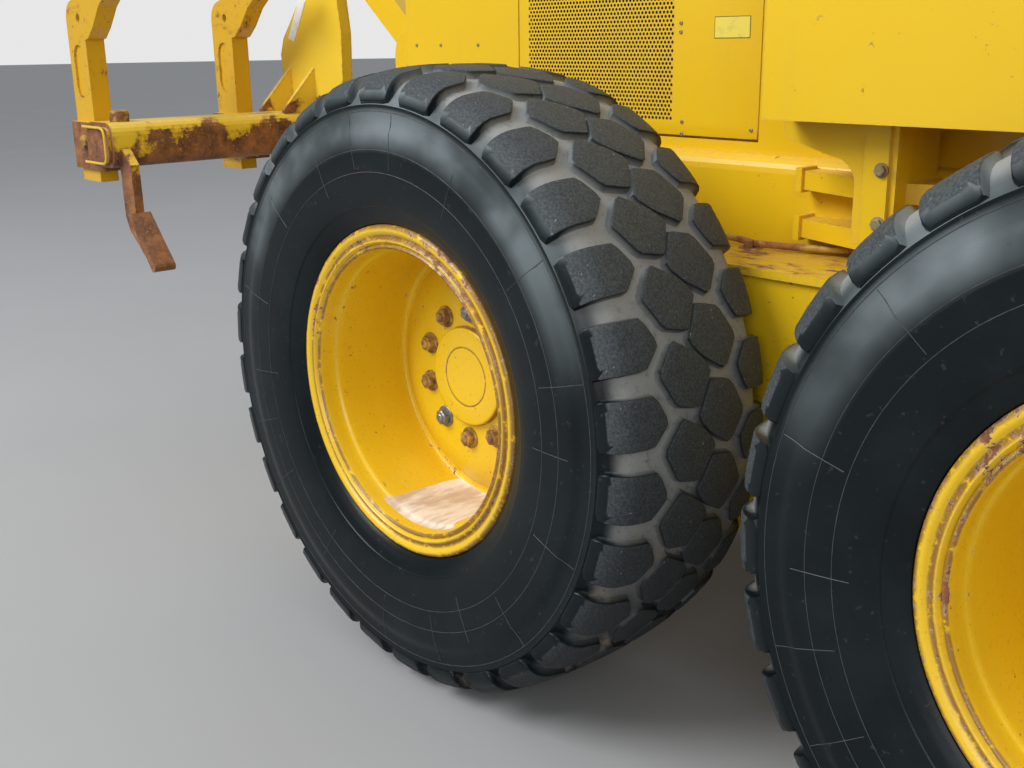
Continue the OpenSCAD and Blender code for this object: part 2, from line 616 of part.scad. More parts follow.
// Height of the front frame's top at a station under the lamps
function deck_z(x) = 1590 - (x - ball_x + 40) * 210 / (nose_x - ball_x + 40);
module lamps() color(grey) {
  for (y = [-600, -330, 330, 600]) {
    box([cab_front + 3, y - 12, cab_eaves - 30], [cab_front + 30, y + 12, cab_eaves - seat]);
    translate([cab_front + 3, y, cab_eaves - 75]) rotate([0, 90, 0]) cylinder(h = 55, r = 52);
  }
  bar_y([bar_x0, bar_z], -330, 330, 18);
  both_sides() {
    slab_xz(88, 112) polygon([for (x = [bar_x0 - 12, bar_x0 + 12]) [x, deck_z(x) + seat],
      [bar_x0 + 12, bar_z], [bar_x0 - 12, bar_z]]);
    slab_yz(bar_x0 - 30, bar_x0 + 60) polygon(soft_rect([255, bar_z - 75], [425, bar_z + 75], 26));
    translate([bar_x0 + 58, 340, bar_z]) rotate([0, 90, 0]) cylinder(h = 14, r = 66);
  }
}
module mirrors() color(grey) both_sides() {
  slab_xy(2700, 2724) polygon([[cab_front + seat, cab_half - 60], [cab_front + seat, cab_half - 20],
    [cab_front + 90, 1000], [cab_front + 114, 1000],
    [cab_front + 60, cab_half - 60]]);
  translate([cab_front + 102, 1000, 2560]) cylinder(h = 300, r = 11);
  slab_yz(cab_front + 84, cab_front + 122) polygon(soft_rect([930, 2500], [1090, 2690], 30));
}

// Blade group: drawbar, circle, yoke and moldboard
module drawbar() color(yellow) {
  slab_xy(drawbar_z, drawbar_z + drawbar_h) difference() {
    polygon([[ball_x - 80, -75], [ball_x - 80, 75], [3560, bar_half - 4], [3360, bar_half],
      [3360, -bar_half],
      [3560, 4 - bar_half]]);
    polygon([[ball_x - 650, -70], [ball_x - 650, 70], [3640, 400], [3640, -400]]);
  }
  translate([ball_x, 0, ball_z]) sphere(r = ball_r, $fn = 32);
  translate([ball_x - 100, 0, ball_z]) rotate([0, 90, 0]) cylinder(h = 100, r = 42);
  // Shoes that hold the ring
  for (a = [30, 115.5, 244.5, 330]) translate([circle_x, 0, 0]) rotate([0, 0, a]) {
    box([circle_r - circle_w - 65, -60, ring_bottom + 45],
      [circle_r - circle_w - gap, 60, drawbar_z + 1]);
    box([circle_r - circle_w - 65, -60, ring_top + pin_play],
      [circle_r - circle_w + 20, 60, drawbar_z + 1]);
  }
  // Circle drive
  box([4150, -330, drawbar_z], [4330, 330, drawbar_z + drawbar_h]);
  translate([4240, 0, ring_bottom + 20]) cylinder(h = 480, r = 105);
  // Lug for the centre shift cylinder
  slab_yz(shift_x + 40, shift_x + 68) polygon(concat([[420, drawbar_z + 10], [bar_half, drawbar_z + 10]],
    arc(shift_pin, 50, -40, 150, 8)));
}
arm_y = 500;    // inner face of the circle's arms
yoke_y = 560;   // inner face of the yoke's plates
module circle_ring() color(yellow) {
  translate([circle_x, 0, ring_bottom]) difference() {
    cylinder(h = ring_top - ring_bottom, r = circle_r, $fn = 96);
    translate([0, 0, -1]) cylinder(h = ring_top - ring_bottom + 2, r = circle_r - circle_w, $fn = 96);
  }
  both_sides() slab_xz(arm_y, arm_y + 45) difference() {
    polygon(concat(arc(tip_pivot, 45, 180, 325, 8), [[3232, 225], [3232, ring_bottom + 10],
      [3150, ring_bottom + 10]]));
    translate(tip_pivot) circle(r = 28 + pin_play);
  }
  // Bracket for the blade tip cylinder
  both_sides() slab_xz(50, 80) difference() {
    polygon(concat(arc(tip_top, 45, 90, 270, 6), [[3010, ring_bottom + 3], [3010, ring_top - 15]]));
    translate(tip_top) circle(r = 25 + pin_play);
  }
}
rail_z = [[200, 250, 3275], [560, 610, 3300]];   // low, high, front of each moldboard rail
rail_back = [3285, 3305];                          // back of each rail
side_shift = [3288, 420];                          // axis of the side shift cylinder
side_rod_r = 16;
module moldboard() color(yellow) {
  slab_xz(-blade_l / 2, blade_l / 2) polygon(concat(
    [for (i = [-12:12]) let (a = asin(blade_h / 2 / blade_curve) * i / 12)
      [curve_x - blade_curve * cos(a), curve_z + blade_curve * sin(a)]],
    [for (i = [12:-1:-12]) let (a = asin(blade_h / 2 / (blade_curve + blade_t)) * i / 12)
      [curve_x - (blade_curve + blade_t) * cos(a), curve_z + (blade_curve + blade_t) * sin(a)]]));
  box([rail_back[0], -1300, 200], [3360, 1300, 250]);
  box([rail_back[1], -1300, 560], [3385, 1300, 610]);
  box([3470, -blade_l / 2, blade_z], [3490, blade_l / 2, blade_z + 150]);
  // Side shift rod and its bracket
  box([side_shift[0] - 22, 1180, 380], [3345, 1230, 460]);
  bar_y(side_shift, -470, 1200, side_rod_r);
}
module blade_yoke() color(yellow) {
  both_sides() slab_xz(yoke_y, yoke_y + 50) polygon(concat(arc(tip_pivot, 45, 180, 250, 5),
    [[3300, 170], [3300, 194], [3279, 194], [3279, 256], [3300, 256], [3300, 285], [3264, 300],
      [3264, 520], [3320, 530],
    [3320, 554], [3299, 554], [3299, 616], [3320, 616], [3320, 640], [3220, 640], [3150, 240]]));
  bar_y(tip_pivot, -yoke_y - 55, yoke_y + 55, 28);
  difference() {
    bar_y(side_shift, -1060, 60, side_rod_r + 12);
    bar_y(side_shift, -1020, 61, side_rod_r + pin_play);
  }
  bar_y(tip_pivot, 10 - arm_y, arm_y - 10, 44);
  // Crank for the tip cylinder
  both_sides() slab_xz(30, 50) polygon(stadium(tip_pivot, tip_eye, 40, 6));
}

// Hydraulic cylinders. A cylinder is drawn with its barrel's pin at the origin and its rod downwards
module barrel(r, bore, top, bottom) difference() {
  translate([0, 0, -bottom]) cylinder(h = top + bottom, r = r);
  translate([0, 0, -bottom - 1]) cylinder(h = top + bottom - 40, r = bore);
}
module on_lean(p, lean, y = 0) translate([p[0], y, p[1]]) rotate([0, -lean, 0]) children();
module lift_barrels() color(yellow) for (s = [-1, 1]) on_lean(lift_top, -lift_lean, s * lift_y) {
  barrel(lift_r, lift_rod_r + pin_play, 1200, 150);
  bar_y([0, 0], s > 0 ? -lift_r - 120 : lift_r - 10, s > 0 ? -lift_r + 10 : lift_r + 120, 34);
}
module lift_rods() color(steel) for (s = [-1, 1]) on_lean(lift_top, -lift_lean, s * lift_y) {
  translate([0, 0, -lift_len]) cylinder(h = lift_len + 700, r = lift_rod_r);
  translate([0, 0, -lift_len]) bar_y([0, 0], -25, 25, lift_rod_r + 12);
}
module shift_place() translate([shift_x, shift_top[0],
  shift_top[1]]) rotate([shift_lean, 0, 0]) children();
module bar_x(x0, x1, r) translate([x0, 0, 0]) rotate([0, 90, 0]) cylinder(h = x1 - x0, r = r);
module shift_barrel() color(yellow) shift_place() {
  barrel(48, 26 + pin_play, 48, 720);
  bar_x(0, 85, 26);
}
module shift_rod() color(steel) shift_place() {
  translate([0, 0, -shift_len]) cylinder(h = shift_len - 230, r = 26);
  translate([0, 0, -shift_len]) bar_x(-26, 26, 45);
}
module tip_barrel() color(yellow) on_lean(tip_top, tip_lean) {
  barrel(42, 22 + pin_play, 28, 290);
  bar_y([0, 0], -78, 78, 25);
}
module tip_rod() color(steel) on_lean(tip_top, tip_lean) {
  translate([0, 0, -tip_len]) cylinder(h = tip_len - 215, r = 22);
  translate([0, 0, -tip_len]) bar_y([0, 0], -24, 24, 38);
}

// Ripper: a raised beam on a parallel linkage
module ripper_arms() color(yellow) {
  both_sides() {
    slab_xz(250, 295) polygon(stadium(ripper_low, carriage_low, arm_r_end, 8));
    for (p = [ripper_low, carriage_low]) bar_y(p, 251, 345, 30);
  }
  bar_y((ripper_low + carriage_low) / 2, -255, 255, 50);
}
module ripper_links() color(yellow) both_sides() {
  slab_xz(250, 295) polygon(stadium(ripper_high, carriage_high, 48, 8));
  for (p = [ripper_high, carriage_high]) bar_y(p, 251, 345, 30);
}
module ripper_plate() slab_xz(300, 340) difference() {
  polygon(concat([[-2525, beam_bottom + beam_h - 12], [beam_front - 40, beam_bottom + beam_h - 12],
    [beam_front - 1, beam_bottom + beam_h - 1], [beam_front - 1, beam_bottom]],
    arc(carriage_low, 62, -90, 60, 6), [[-2205, 1250], [-2200, 1400], [-2225, 1560]],
    arc(carriage_high, 62, -20, 150, 6), [[-2390, 1560], [-2440, 1510], [-2555, 1385], [-2578, 1330],
      [-2570, 1250]]));
  translate(carriage_low) circle(r = 30 + pin_play);
  translate(carriage_high) circle(r = 30 + pin_play);
}
module ripper_beam() color(rust) {
  slab_xz(-beam_l, beam_l) polygon(soft_rect([beam_front - beam_d, beam_bottom],
    [beam_front, beam_bottom + beam_h], 38, 5));
  both_sides() slab_xz(beam_l - 1, beam_l + 9)
    polygon(soft_rect([beam_front - beam_d + 14, beam_bottom + 14],
      [beam_front - 14, beam_bottom + beam_h - 14], 28, 4));
  // Slim shank at one end
  slab_xz(-1064, -1036) polygon([[-2375, beam_bottom + 20], [beam_front - 2, beam_bottom + 60],
    [-2301, beam_bottom + 12], [-2298, 872], [-2190, 752], [-2230, 720], [-2350, 816], [-2372, 858]]);
  slab_xz(-1084, -1016) polygon(concat([[-2312, 872], [-2298, 876]],
    [for (p = arc([-2176, 724], 14, 40, -120, 5)) p]));
  both_sides() {
    ripper_plate();
    // Gussets from the beam to the plate
    for (x = [-2532, -2385]) slab_yz(x, x + 14)
      polygon([[335, beam_bottom + beam_h - 12], [470, beam_bottom + beam_h - 12],
        [470, beam_bottom + beam_h + 8], [335, beam_bottom + beam_h + 150]]);
    slab_xz(60, 90) polygon(concat([[beam_front - 1, beam_bottom + 10]],
      arc(ripper_cyl_eye, 50, -100, 80, 6), [[beam_front - 1, beam_bottom + 130]]));
  }
  for (i = [-2:2]) translate([0, i * shank_pitch, 0]) pocket();
}
pocket_wall = 14;   // thickness of a pocket's cheeks
module pocket() difference() {
  box([beam_front - beam_d - pocket_d, -shank_t / 2 - pocket_wall, beam_bottom - 20],
    [beam_front - beam_d + 38, shank_t / 2 + pocket_wall, beam_bottom + beam_h - 8]);
  box([shank_x - shank_d - seat, -shank_t / 2 - seat, beam_bottom - 21],
    [shank_x + seat, shank_t / 2 + seat, beam_bottom + beam_h]);
}
knee_z = 1388;      // height where a shank starts to bend
hollow = 7;         // depth of the hollow in each side of a shank
hollow_r = 36;      // half the width of that hollow
module ripper_shank() difference() {
  slab_xz(-shank_t / 2, shank_t / 2) shank_outline();
  for (y = [-shank_t / 2 - 1, shank_t / 2 - hollow]) slab_xz(y, y + hollow + 1)
    polygon(stadium([shank_x - shank_d / 2, beam_bottom + beam_h + 102],
      [shank_x - shank_d / 2, knee_z - hollow_r - 14], hollow_r, 6));
  bar_y([shank_x - 40, knee_z + 66], -shank_t, shank_t, 13);
}
// The bent end: front edge, point, then the back edge with its round corner
bend_r = 60;
module shank_outline() polygon(concat([[shank_x - shank_d, beam_bottom - 60],
  [shank_x, beam_bottom - 60]],
  [for (p = [[0, 0], [20, 4], [62, 36], [118, 95], [185, 138], [270, 172], [262, 196], [150, 190],
    [60, 162]])
    [shank_x, knee_z] + p],
  arc([shank_x - shank_d + bend_r, knee_z + bend_r], bend_r, 100, 180, 6)));
module ripper_shanks() color(yellow) for (i = [-2, -1, 1, 2]) translate([0, i * shank_pitch, 0])
  ripper_shank();
module ripper_barrel() color(yellow) on_lean(ripper_cyl_top, ripper_lean) {
  barrel(ripper_r - 16, ripper_rod_r + pin_play, 50, 640);
  bar_y([0, 0], -92, 92, 30);
}
module ripper_rod() color(steel) on_lean(ripper_cyl_top, ripper_lean) {
  translate([0, 0, -ripper_len]) cylinder(h = ripper_len - 60, r = ripper_rod_r);
  translate([0, 0, -ripper_len]) bar_y([0, 0], -50, 50, 48);
}

placed() rear_frame();
placed() axle_housing();
placed() tandem_cases();
placed() engine_block();
placed() hood();
placed() side_panels();
placed() rear_grille();
placed() stacks();
placed() side_tanks();
placed() color(yellow) engine_door();  // engine_door_left
placed() color(yellow) mirror([0, 1, 0]) engine_door();  // engine_door_right
placed() wheel_tyre(-half_pitch, 1);  // tyre_rear_left
placed() wheel_rim(-half_pitch, 1);  // rim_rear_left
placed() wheel_tyre(-half_pitch, -1);  // tyre_rear_right
placed() wheel_rim(-half_pitch, -1);  // rim_rear_right
placed() wheel_tyre(half_pitch, 1);  // tyre_middle_left
placed() wheel_rim(half_pitch, 1);  // rim_middle_left
placed() wheel_tyre(half_pitch, -1);  // tyre_middle_right
placed() wheel_rim(half_pitch, -1);  // rim_middle_right
placed() wheel_tyre(wheelbase, 1);  // tyre_front_left
placed() wheel_rim(wheelbase, 1);  // rim_front_left
placed() wheel_tyre(wheelbase, -1);  // tyre_front_right
placed() wheel_rim(wheelbase, -1);  // rim_front_right
placed() front_frame();
placed() lift_saddle();
placed() push_block();
placed() front_axle();
placed() knuckle(1);  // knuckle_left
placed() knuckle(-1);  // knuckle_right
placed() tie_rod();
placed() steering_rod(1);  // steering_rod_left
placed() steering_rod(-1);  // steering_rod_right
placed() cab_base();
placed() cab_posts();
placed() cab_roof();
placed() cab_glass();
placed() cab_interior();
placed() ladders();
placed() lamps();
placed() mirrors();
placed() color(yellow) cab_door();  // cab_door_left
placed() color(yellow) mirror([0, 1, 0]) cab_door();  // cab_door_right
placed() color(pale, 0.4) door_glass();  // door_glass_left
placed() color(pale, 0.4) mirror([0, 1, 0]) door_glass();  // door_glass_right
placed() drawbar();
placed() circle_ring();  // circle
placed() blade_yoke();
placed() moldboard();
placed() lift_barrels();
placed() lift_rods();
placed() shift_barrel();
placed() shift_rod();
placed() tip_barrel();
placed() tip_rod();
placed() ripper_arms();
placed() ripper_links();
placed() ripper_beam();
placed() ripper_shanks();
placed() ripper_barrel();
placed() ripper_rod();
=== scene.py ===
"""Looks of a motor grader: treaded tyres, dished rims, perforated panels, ripper and worn paint.

Metres, in the row frame: +X forwards, +Y to the machine's left, +Z up, ground at z = 0.
"""
import json
import math

import bpy
import numpy as np
from mathutils import Matrix, Vector


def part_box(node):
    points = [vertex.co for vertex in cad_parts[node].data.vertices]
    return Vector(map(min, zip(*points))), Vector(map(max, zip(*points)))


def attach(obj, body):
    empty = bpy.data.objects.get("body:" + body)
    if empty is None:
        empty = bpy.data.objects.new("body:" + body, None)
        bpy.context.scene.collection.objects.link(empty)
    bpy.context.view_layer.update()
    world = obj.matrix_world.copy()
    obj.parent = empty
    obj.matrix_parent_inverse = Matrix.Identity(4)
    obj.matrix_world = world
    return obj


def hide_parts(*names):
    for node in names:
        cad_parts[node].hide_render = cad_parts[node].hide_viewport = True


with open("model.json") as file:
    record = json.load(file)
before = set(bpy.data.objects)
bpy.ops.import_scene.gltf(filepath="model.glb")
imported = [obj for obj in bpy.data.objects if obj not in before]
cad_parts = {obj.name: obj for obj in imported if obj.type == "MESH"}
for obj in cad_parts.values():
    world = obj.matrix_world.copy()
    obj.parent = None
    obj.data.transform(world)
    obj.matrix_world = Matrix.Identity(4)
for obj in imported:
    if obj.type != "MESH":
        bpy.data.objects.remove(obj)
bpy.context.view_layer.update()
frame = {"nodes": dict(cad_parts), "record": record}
NODES = frame["nodes"]


# Meshes

def welded(points, quads, tris=None):
    """Makes coincident points one; a four-cornered face that loses a corner becomes three-cornered.

    Returns the numbers of the points that stay and both kinds of faces in the new numbers.
    """
    rounded = np.round(np.asarray(points, float), 6)
    _, first, number = np.unique(rounded, axis=0, return_index=True, return_inverse=True)
    number = number.ravel()
    quads = number[np.asarray(quads, int).reshape(-1, 4)]
    tris = np.zeros((0, 3), int) if tris is None else number[np.asarray(tris, int).reshape(-1, 3)]
    doubled = quads == np.roll(quads, -1, axis=1)
    lost = doubled.sum(1)
    made = quads[lost == 1][~doubled[lost == 1]].reshape(-1, 3)
    tris = np.concatenate([tris, made])
    whole = (tris != np.roll(tris, -1, axis=1)).all(1)
    return first, quads[lost == 0], tris[whole]


def mesh_piece(name, points, quads, tris=None, body=None, smooth=35.0, uv=None, marks=None):
    """A mesh object from arrays of points, four-cornered and three-cornered faces.

    uv is one pair per point; marks is {attribute: one number per point}.
    """
    first, quads, tris = welded(points, quads, tris)
    points = np.asarray(points, dtype=np.float32)[first]
    uv = None if uv is None else np.asarray(uv, np.float32)[first]
    corners = np.concatenate([quads.ravel(), tris.ravel()])
    sizes = np.concatenate([np.full(len(quads), 4), np.full(len(tris), 3)])
    starts = np.concatenate([[0], np.cumsum(sizes)[:-1]])
    mesh = bpy.data.meshes.new(name)
    mesh.vertices.add(len(points))
    mesh.vertices.foreach_set("co", points.ravel())
    mesh.loops.add(len(corners))
    mesh.loops.foreach_set("vertex_index", corners.astype(np.int32))
    mesh.polygons.add(len(sizes))
    mesh.polygons.foreach_set("loop_start", starts.astype(np.int32))
    mesh.polygons.foreach_set("use_smooth", np.ones(len(sizes), bool))
    if uv is not None:
        layer = mesh.uv_layers.new(name="UVMap")
        layer.data.foreach_set("uv", uv[corners].ravel())
    mesh.update(calc_edges=True)
    mesh.validate()
    if smooth is not None:
        mesh.set_sharp_from_angle(angle=math.radians(smooth))
    for key, values in (marks or {}).items():
        data = mesh.attributes.new(key, "FLOAT", "POINT")
        data.data.foreach_set("value", np.asarray(values, np.float32)[first])
    piece = bpy.data.objects.new(name, mesh)
    bpy.context.collection.objects.link(piece)
    if body:
        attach(piece, body)
    return piece


def grid_faces(rows, columns, wrap_rows=False, wrap_columns=False):
    """Corner numbers of the faces of a grid of points, numbered row by row."""
    i = np.arange(rows if wrap_rows else rows - 1)
    j = np.arange(columns if wrap_columns else columns - 1)
    i, j = np.meshgrid(i, j, indexing="ij")
    i2, j2 = (i + 1) % rows, (j + 1) % columns
    corners = [i * columns + j, i * columns + j2, i2 * columns + j2, i2 * columns + j]
    return np.stack(corners, -1).reshape(-1, 4)


def joined(parts):
    """Stacks (points, quads, tris) parts into one set of arrays."""
    points, quads, tris, count = [], [], [], 0
    for part in parts:
        p = np.asarray(part[0], float).reshape(-1, 3)
        points.append(p)
        quads.append(np.asarray(part[1], int).reshape(-1, 4) + count)
        if len(part) > 2 and part[2] is not None:
            tris.append(np.asarray(part[2], int).reshape(-1, 3) + count)
        count += len(p)
    return np.concatenate(points), np.concatenate(quads), np.concatenate(tris) if tris else None


def flipped(part):
    """The same faces seen from the other side."""
    points, quads = part[0], np.asarray(part[1])[:, ::-1]
    tris = None if len(part) < 3 or part[2] is None else np.asarray(part[2])[:, ::-1]
    return points, quads, tris


def turned_to(axis):
    """Matrix whose third column is axis and whose first lies level."""
    z = np.asarray(axis, float) / np.linalg.norm(axis)
    x = np.cross([0, 0, 1.0], z)
    if np.linalg.norm(x) < 1e-6:
        x = np.array([1.0, 0, 0])
    x = x / np.linalg.norm(x)
    return np.stack([x, np.cross(z, x), z], -1)


def lathe(profile, segments=48, place=(0, 0, 0), axis=(0, 0, 1), shape=None):
    """A profile of (radius, height) carried round an axis; radius 0 closes a pole.

    The profile runs from the top inwards to the bottom, so that faces point outwards.
    shape(angle) scales the radius, which makes a hexagon of a circle.
    """
    profile = np.asarray(profile, float)
    angle = np.linspace(0, 2 * np.pi, segments, endpoint=False)
    scale = np.ones(segments) if shape is None else shape(angle)
    r, height = profile[:, :1] * scale, profile[:, 1:] + 0 * scale
    points = np.stack([r * np.cos(angle), r * np.sin(angle), height], -1)
    points = points.reshape(-1, 3) @ turned_to(axis).T + np.asarray(place, float)
    return points, grid_faces(len(profile), segments, wrap_columns=True)[:, ::-1]


def hexagon(angle):
    """Distance to a hexagon's side over its distance to a corner."""
    return math.cos(math.pi / 6) / np.cos((angle % (math.pi / 3)) - math.pi / 6)


def bolt(place, axis, size=.024, height=.012):
    """A hexagon head on a washer; size is measured over the corners."""
    r = size / 2
    head = [(0, height), (r * .82, height), (r, height - .15 * r), (r, .002)]
    return [lathe([(0, .0035), (r * 1.25, .0035), (r * 1.25, -.002)], 20, place, axis),
            lathe(head, 18, place, axis, hexagon)]


def tube(path, radius, sides=12):
    """A round section carried along a path, closed at its ends; each ring stands square to the path."""
    path = np.asarray(path, float)
    along = np.gradient(path, axis=0)
    along /= np.linalg.norm(along, axis=1)[:, None]
    side = np.zeros_like(along)
    side[0] = turned_to(along[0])[:, 0]
    for k in range(1, len(path)):
        ahead = side[k - 1] - along[k] * (side[k - 1] @ along[k])
        side[k] = ahead / np.linalg.norm(ahead)
    up = np.cross(side, along)
    angle = np.linspace(0, 2 * np.pi, sides, endpoint=False)
    ring = side[:, None, :] * np.cos(angle)[None, :, None] + up[:, None, :] * np.sin(angle)[None, :, None]
    points = (path[:, None, :] + radius * ring).reshape(-1, 3)
    n = len(points)
    first, last = np.arange(sides), np.arange(n - sides, n)
    tris = np.concatenate([np.stack([np.roll(first, -1), first, np.full(sides, n)], -1),
                           np.stack([last, np.roll(last, -1), np.full(sides, n + 1)], -1)])
    points = np.concatenate([points, path[:1], path[-1:]])
    return points, grid_faces(len(path), sides, wrap_columns=True), tris


def bend_path(corners, radius, steps=6):
    """Straight runs through the corners with each inner corner rounded off."""
    corners = [np.asarray(c, float) for c in corners]
    path = [corners[0]]
    for before, here, after in zip(corners, corners[1:], corners[2:]):
        back = (before - here) / np.linalg.norm(before - here)
        on = (after - here) / np.linalg.norm(after - here)
        a, b = here + back * radius, here + on * radius
        for u in np.linspace(0, 1, steps):
            path.append((1 - u) ** 2 * a + 2 * u * (1 - u) * here + u ** 2 * b)
    path.append(corners[-1])
    return np.array(path)


def cornered(corners, radius, steps=4):
    """A closed anticlockwise outline whose corners are short curves and whose sides stay straight."""
    corners = np.asarray(corners, float)
    x, y = corners.T
    if np.sum(x * np.roll(y, -1) - np.roll(x, -1) * y) < 0:
        corners = corners[::-1]
    back, on = np.roll(corners, 1, 0) - corners, np.roll(corners, -1, 0) - corners
    back_len, on_len = np.linalg.norm(back, axis=1), np.linalg.norm(on, axis=1)
    reach = np.minimum(radius, 0.42 * np.minimum(back_len, on_len))[:, None]
    a, b = corners + back / back_len[:, None] * reach, corners + on / on_len[:, None] * reach
    u = np.linspace(0, 1, steps + 1)[None, :, None]
    curve = (1 - u) ** 2 * a[:, None] + 2 * u * (1 - u) * corners[:, None] + u ** 2 * b[:, None]
    return curve.reshape(-1, 2)


def oblong(a0, a1, b0, b1):
    """Corners of a rectangle."""
    return [(a0, b0), (a1, b0), (a1, b1), (a0, b1)]


def across(axis, points, quads, tris=None):
    """A part drawn in (a, b, c) turned into x, y, z with c along the axis; along Y that mirrors it."""
    a, b, c = points.T
    if axis == "y":
        return flipped((np.stack([a, c, b], -1), quads, tris))
    return points if axis == "z" else np.stack([c, a, b], -1), quads, tris


def rings_of(outline, rings, wrap_rows=False):
    """Rings of (inset, level) of a closed outline, as points (a, b, level) and faces."""
    points = [np.column_stack([inset(outline, amount), np.full(len(outline), level)])
              for amount, level in rings]
    return np.concatenate(points), grid_faces(len(rings), len(outline), wrap_rows, True)


def plate(corners, low, high, axis="z", radius=.006, bevel=.002, steps=4):
    """A slab with rounded corners and bevelled rims, from low to high along the axis."""
    outline = cornered(corners, radius, steps)
    n = len(outline)
    bevel = min(bevel, (high - low) * .45)
    points, quads = rings_of(outline, [(bevel, low), (0, low + bevel), (0, high - bevel), (bevel, high)])
    centre = outline.mean(0)
    points = np.concatenate([points, [[*centre, low], [*centre, high]]])
    i = np.arange(n)
    j = (i + 1) % n
    tris = np.concatenate([np.stack([j, i, np.full(n, 4 * n)], -1),
                           np.stack([3 * n + i, 3 * n + j, np.full(n, 4 * n + 1)], -1)])
    return across(axis, points, quads, tris)


def surround(corners, width, low, high, axis="z", radius=.02, bevel=.003):
    """A flat frame round an opening: outer outline, width inwards, from low to high along the axis."""
    outline = cornered(corners, radius, 5)
    rings = [(0, low), (0, high - bevel), (bevel, high), (width - bevel, high), (width, high - bevel),
             (width, low)]
    return across(axis, *rings_of(outline, rings, True))


def hoop(major, minor, place, axis, turns=64, sides=10):
    """A torus: x = (R + r cos b) cos a, y = (R + r cos b) sin a, z = r sin b."""
    a, b = np.meshgrid(np.arange(turns) * 2 * np.pi / turns, np.arange(sides) * 2 * np.pi / sides,
                       indexing="ij")
    r = major + minor * np.cos(b)
    points = np.stack([r * np.cos(a), r * np.sin(a), minor * np.sin(b)], -1).reshape(-1, 3)
    points = points @ turned_to(axis).T + np.asarray(place, float)
    return points, grid_faces(turns, sides, True, True)[:, ::-1], None


PLAN_EXPONENT = .38         # fullness of a pad's corners seen from above


def pad(low, high, square=.45, tilt=0.0, channels=0, segments=96):
    """A stuffed block: a superquadric in its box, sewn in channels and tilted about Y.

    square is the exponent of its side view, PLAN_EXPONENT that of its plan; smaller means fuller corners.
    """
    low, high = np.asarray(low, float), np.asarray(high, float)
    phi = np.linspace(math.pi / 2, -math.pi / 2, 33)
    cosines, sines = np.abs(np.cos(phi)), np.sin(phi)
    profile = np.stack([cosines ** square, np.sign(sines) * np.abs(sines) ** square], -1)
    profile[[0, -1], 0] = 0
    power = 2 / PLAN_EXPONENT
    points, quads = lathe(profile, segments, shape=lambda angle: (
        np.abs(np.cos(angle)) ** power + np.abs(np.sin(angle)) ** power) ** (-1 / power))
    if channels:
        seam = np.abs(np.cos(points[:, 1] * math.pi * channels / 2)) ** .35
        points[:, 2] *= 1 - .16 * (1 - seam)
    points = points * (high - low) / 2
    cosine, sine = math.cos(tilt), math.sin(tilt)
    points = points @ np.array([[cosine, 0, -sine], [0, 1, 0], [sine, 0, cosine]]) + (low + high) / 2
    return points, quads, None


def mirrored(part):
    """The same part on the machine's other side."""
    return flipped((np.asarray(part[0]) * [1, -1, 1], *part[1:]))


def rearward(part):
    """A part drawn facing forwards, turned to face the rear: x changes its sign."""
    return flipped((np.asarray(part[0]) * [-1, 1, 1], *part[1:]))


def both(parts):
    """Parts of the left side and their mirror images."""
    return parts + [mirrored(part) for part in parts]


def sided(parts, side):
    """Parts drawn on the left, on the side that is asked for."""
    return parts if side == "left" else [mirrored(part) for part in parts]


def screw(place, axis, r=.0075):
    """A domed screw head with a hollow."""
    profile = [(0, r * .28), (r * .42, r * .28), (r * .50, r * .55), (r * .80, r * .42), (r, 0), (r, -.001)]
    return lathe(profile, 14, place, axis)


def bolt_row(places, axis, size=.024, height=.012):
    """The same bolt at several places."""
    return [part for place in places for part in bolt(place, axis, size, height)]


def bolt_circle(centre, axis, radius, count, size=.024):
    """Bolts evenly round a centre, standing along the axis."""
    turn = turned_to(axis)
    return bolt_row([np.asarray(centre, float) + turn @ [radius * math.cos(a), radius * math.sin(a), 0]
                     for a in np.arange(count) * 2 * math.pi / count], axis, size)


def cap(place, axis, r, height, foot=.002):
    """A flat round cap with a rounded rim."""
    soft = min(height * .4, r * .2)
    profile = [(0, height), (r - soft, height), (r - .3 * soft, height - .3 * soft), (r, height - soft)]
    return lathe([*profile, (r, -foot)], 40, place, axis)


def lens(place, axis, r, rise):
    """A shallow glass dome with fine rings pressed into it."""
    u = np.linspace(0, 1, 15)
    profile = np.stack([r * u, rise * np.sqrt(1 - .85 * u ** 2) + .0006 * np.cos(u * 40)], -1)
    return lathe(np.concatenate([profile, [(r, -.001)]]), 48, place, axis)


# Places from the frame

def middle(name):
    """Middle of a node's box."""
    low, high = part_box(name)
    return (np.array(low) + np.array(high)) / 2


X_OFFSET = -2.2475          # station 0, the middle of the tandem, in the row frame
WHEELS = [(axle, side) for axle in ("rear", "middle", "front") for side in ("right", "left")]


def wheel_frame(axle, side):
    """Centre of a wheel and the sign of its outward side along Y."""
    centre = middle(f"tyre_{axle}_{side}")
    return centre, (1.0 if side == "left" else -1.0)


# Tyres

PITCHES = 30                # tread blocks of a row in one turn
TREAD_RADIUS = 0.655        # where the blocks' lengths round the wheel are measured
DEGREE = math.radians(1) * TREAD_RADIUS
CARCASS_SEGMENTS = 216
MOULD_LINES = 18
TYRE_TURN = {"rear": -.084, "middle": .9, "front": 2.1}     # where the tread stands, per axle
SHEEN_BAND = (.510, .583)                                # radii of the band on the sidewall that carries a painted grey sheen
# Columns: distance outwards from the wheel's centre plane, degrees round the wheel
SHOULDER_LUG = [(.2470, 4.1), (.2150, 4.0), (.125, 3.5), (.100, -.8), (.135, -4.1), (.2150, -4.0),
                (.2470, -4.1)]
INNER_BLOCK = [(.064, -1.0), (.109, -5.6), (.074, -10.8), (.018, -11.9), (-.022, -6.6), (.008, -3.8)]
TREAD_TWIN = -20.2          # a block at (s, c) has a twin at (-s, TREAD_TWIN - c)
